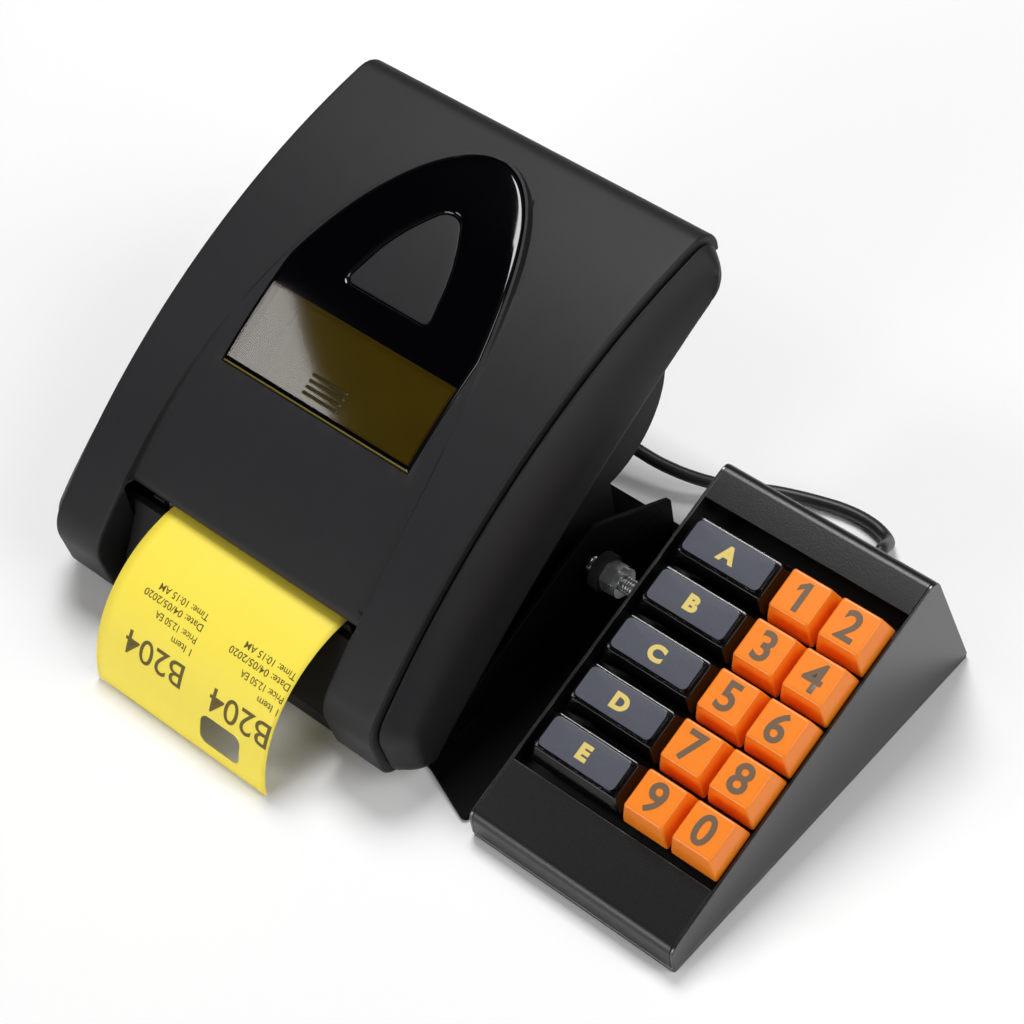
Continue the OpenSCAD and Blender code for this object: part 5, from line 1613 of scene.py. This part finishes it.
@dataclass(frozen=True)
class Softbox:
    """A rectangular light that looks at a point.

    Args:
        name: Name of the light.
        spot: Its place in metres.
        aim: The point that it looks at.
        size: Its width and height in metres.
        power: Its power in watts.
    """

    name: str
    spot: tuple[float, float, float]
    aim: tuple[float, float, float]
    size: tuple[float, float]
    power: float

    def hang(self) -> None:
        """Hangs the light with its width level and its back to the line from its aim."""
        data = bpy.data.lights.new(self.name, "AREA")
        data.shape = "RECTANGLE"
        data.size, data.size_y = self.size
        data.energy = self.power
        box = linked(self.name, data)
        back = unit(np.array(self.spot) - np.array(self.aim))
        side = unit(np.cross(np.array([0.0, 1.0, 0.0]), back))
        turn = np.eye(4)
        turn[:3] = np.column_stack([side, np.cross(back, side), back, self.spot])
        box.matrix_world = Matrix(turn.tolist())


SOFTBOXES = (
    Softbox("glare", (-0.93, -0.45, 1.00), (-0.93, -0.45, 0.0), (0.32, 0.34), 2.2),
    Softbox("right", (0.95, 0.20, 0.75), (0.0, 0.0, 0.05), (0.8, 0.8), 7.0),
    Softbox("key", (-0.36, 0.46, 1.25), (0.0, 0.0, 0.05), (0.6, 0.5), 13.0),
    Softbox("front", (-0.25, -1.25, 0.45), (-0.05, 0.0, 0.03), (0.9, 0.6), 8.6),
)


@dataclass
class Studio:
    """Camera, counter, sky and softboxes."""

    eye: tuple[float, float, float] = (476.909, -380.040, 768.289)
    right: tuple[float, float, float] = (0.7397, 0.6610, -0.1265)
    down: tuple[float, float, float] = (0.4529, -0.6280, -0.6329)
    ahead: tuple[float, float, float] = (-0.4977, 0.4108, -0.7639)
    lens: float = 103.54
    bright_side: tuple[float, float, float] = (0.80, 0.45, 0.39)
    bright_wall: float = 1.9
    low_wall: float = 2.0
    low_left: float = 0.3
    dark_top: float = 0.03
    wall_span: tuple[float, float] = (-0.15, 0.75)
    low_span: tuple[float, float] = (0.10, 0.42)
    side_span: tuple[float, float] = (-0.1, 0.6)
    counter_half: float = 6.0
    counter_color: tuple[float, float, float, float] = (0.93, 0.93, 0.93, 1.0)

    def camera(self) -> None:
        """Stands the camera where the photograph was taken from."""
        data = bpy.data.cameras.new("camera")
        data.lens = self.lens
        data.sensor_width = 36.0
        data.sensor_fit = "HORIZONTAL"
        data.clip_start = 0.05
        data.clip_end = 20.0
        camera = linked("camera", data)
        turn = np.eye(4)
        turn[:3] = np.column_stack([self.right, -np.array(self.down), -np.array(self.ahead),
                                    np.array(self.eye) * MM])
        camera.matrix_world = Matrix(turn.tolist())
        bpy.context.scene.camera = camera

    def counter(self) -> None:
        """Lays the pale counter that takes the shadows."""
        made = bpy.data.meshes.new("counter")
        size = self.counter_half
        made.from_pydata([(-size, -size, 0.0), (size, -size, 0.0), (size, size, 0.0), (-size, size, 0.0)],
                         [], [(0, 1, 2, 3)])
        counter = linked("counter", made)
        pale = bpy.data.materials.new("counter")
        pale.use_nodes = True
        shader = pale.node_tree.nodes["Principled BSDF"]
        shader.inputs["Base Color"].default_value = self.counter_color
        shader.inputs["Roughness"].default_value = 0.9
        shader.inputs["Specular IOR Level"].default_value = 0.1
        made.materials.append(pale)

    def sky(self) -> None:
        """Makes a room that is bright at the right, pale low down and dark at the upper left."""
        world = bpy.data.worlds.new("studio")
        bpy.context.scene.world = world
        world.use_nodes = True
        tree = world.node_tree
        back = tree.nodes["Background"]
        where = tree.nodes.new("ShaderNodeTexCoord").outputs["Generated"]
        side = tree.nodes.new("ShaderNodeVectorMath")
        side.operation = "DOT_PRODUCT"
        side.inputs[1].default_value = self.bright_side
        tree.links.new(where, side.inputs[0])
        split = tree.nodes.new("ShaderNodeSeparateXYZ")
        tree.links.new(where, split.inputs["Vector"])
        wall = self._ramp(tree, side.outputs["Value"], self.wall_span, (self.dark_top, self.bright_wall))
        low = self._ramp(tree, split.outputs["Z"], self.low_span, (1.0, 0.0))
        sides = self._ramp(tree, split.outputs["X"], self.side_span, (self.low_left, self.low_wall))
        total = tree.nodes.new("ShaderNodeMath")
        total.operation = "MULTIPLY_ADD"
        tree.links.new(low, total.inputs[0])
        tree.links.new(sides, total.inputs[1])
        tree.links.new(wall, total.inputs[2])
        tree.links.new(total.outputs["Value"], back.inputs["Strength"])

    @staticmethod
    def _ramp(tree: bpy.types.NodeTree, value: bpy.types.NodeSocket, span: tuple[float, float],
              ends: tuple[float, float]) -> bpy.types.NodeSocket:
        """Adds a smooth step from one end value to the other over a span."""
        ramp = tree.nodes.new("ShaderNodeMapRange")
        ramp.interpolation_type = "SMOOTHSTEP"
        ramp.inputs["From Min"].default_value, ramp.inputs["From Max"].default_value = span
        ramp.inputs["To Min"].default_value, ramp.inputs["To Max"].default_value = ends
        tree.links.new(value, ramp.inputs["Value"])
        return ramp.outputs["Result"]

    def build(self) -> None:
        """Sets up everything around the object."""
        self.camera()
        self.counter()
        self.sky()
        for box in SOFTBOXES:
            box.hang()
        bpy.context.scene.view_settings.view_transform = "Standard"


def main() -> None:
    """Builds the studio and every sub-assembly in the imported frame."""
    logging.basicConfig(level=logging.INFO)
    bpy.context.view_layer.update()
    Studio().build()
    Link().build()
    Printer().build()
    Keypad().build()


if __name__ == "__main__":
    main()
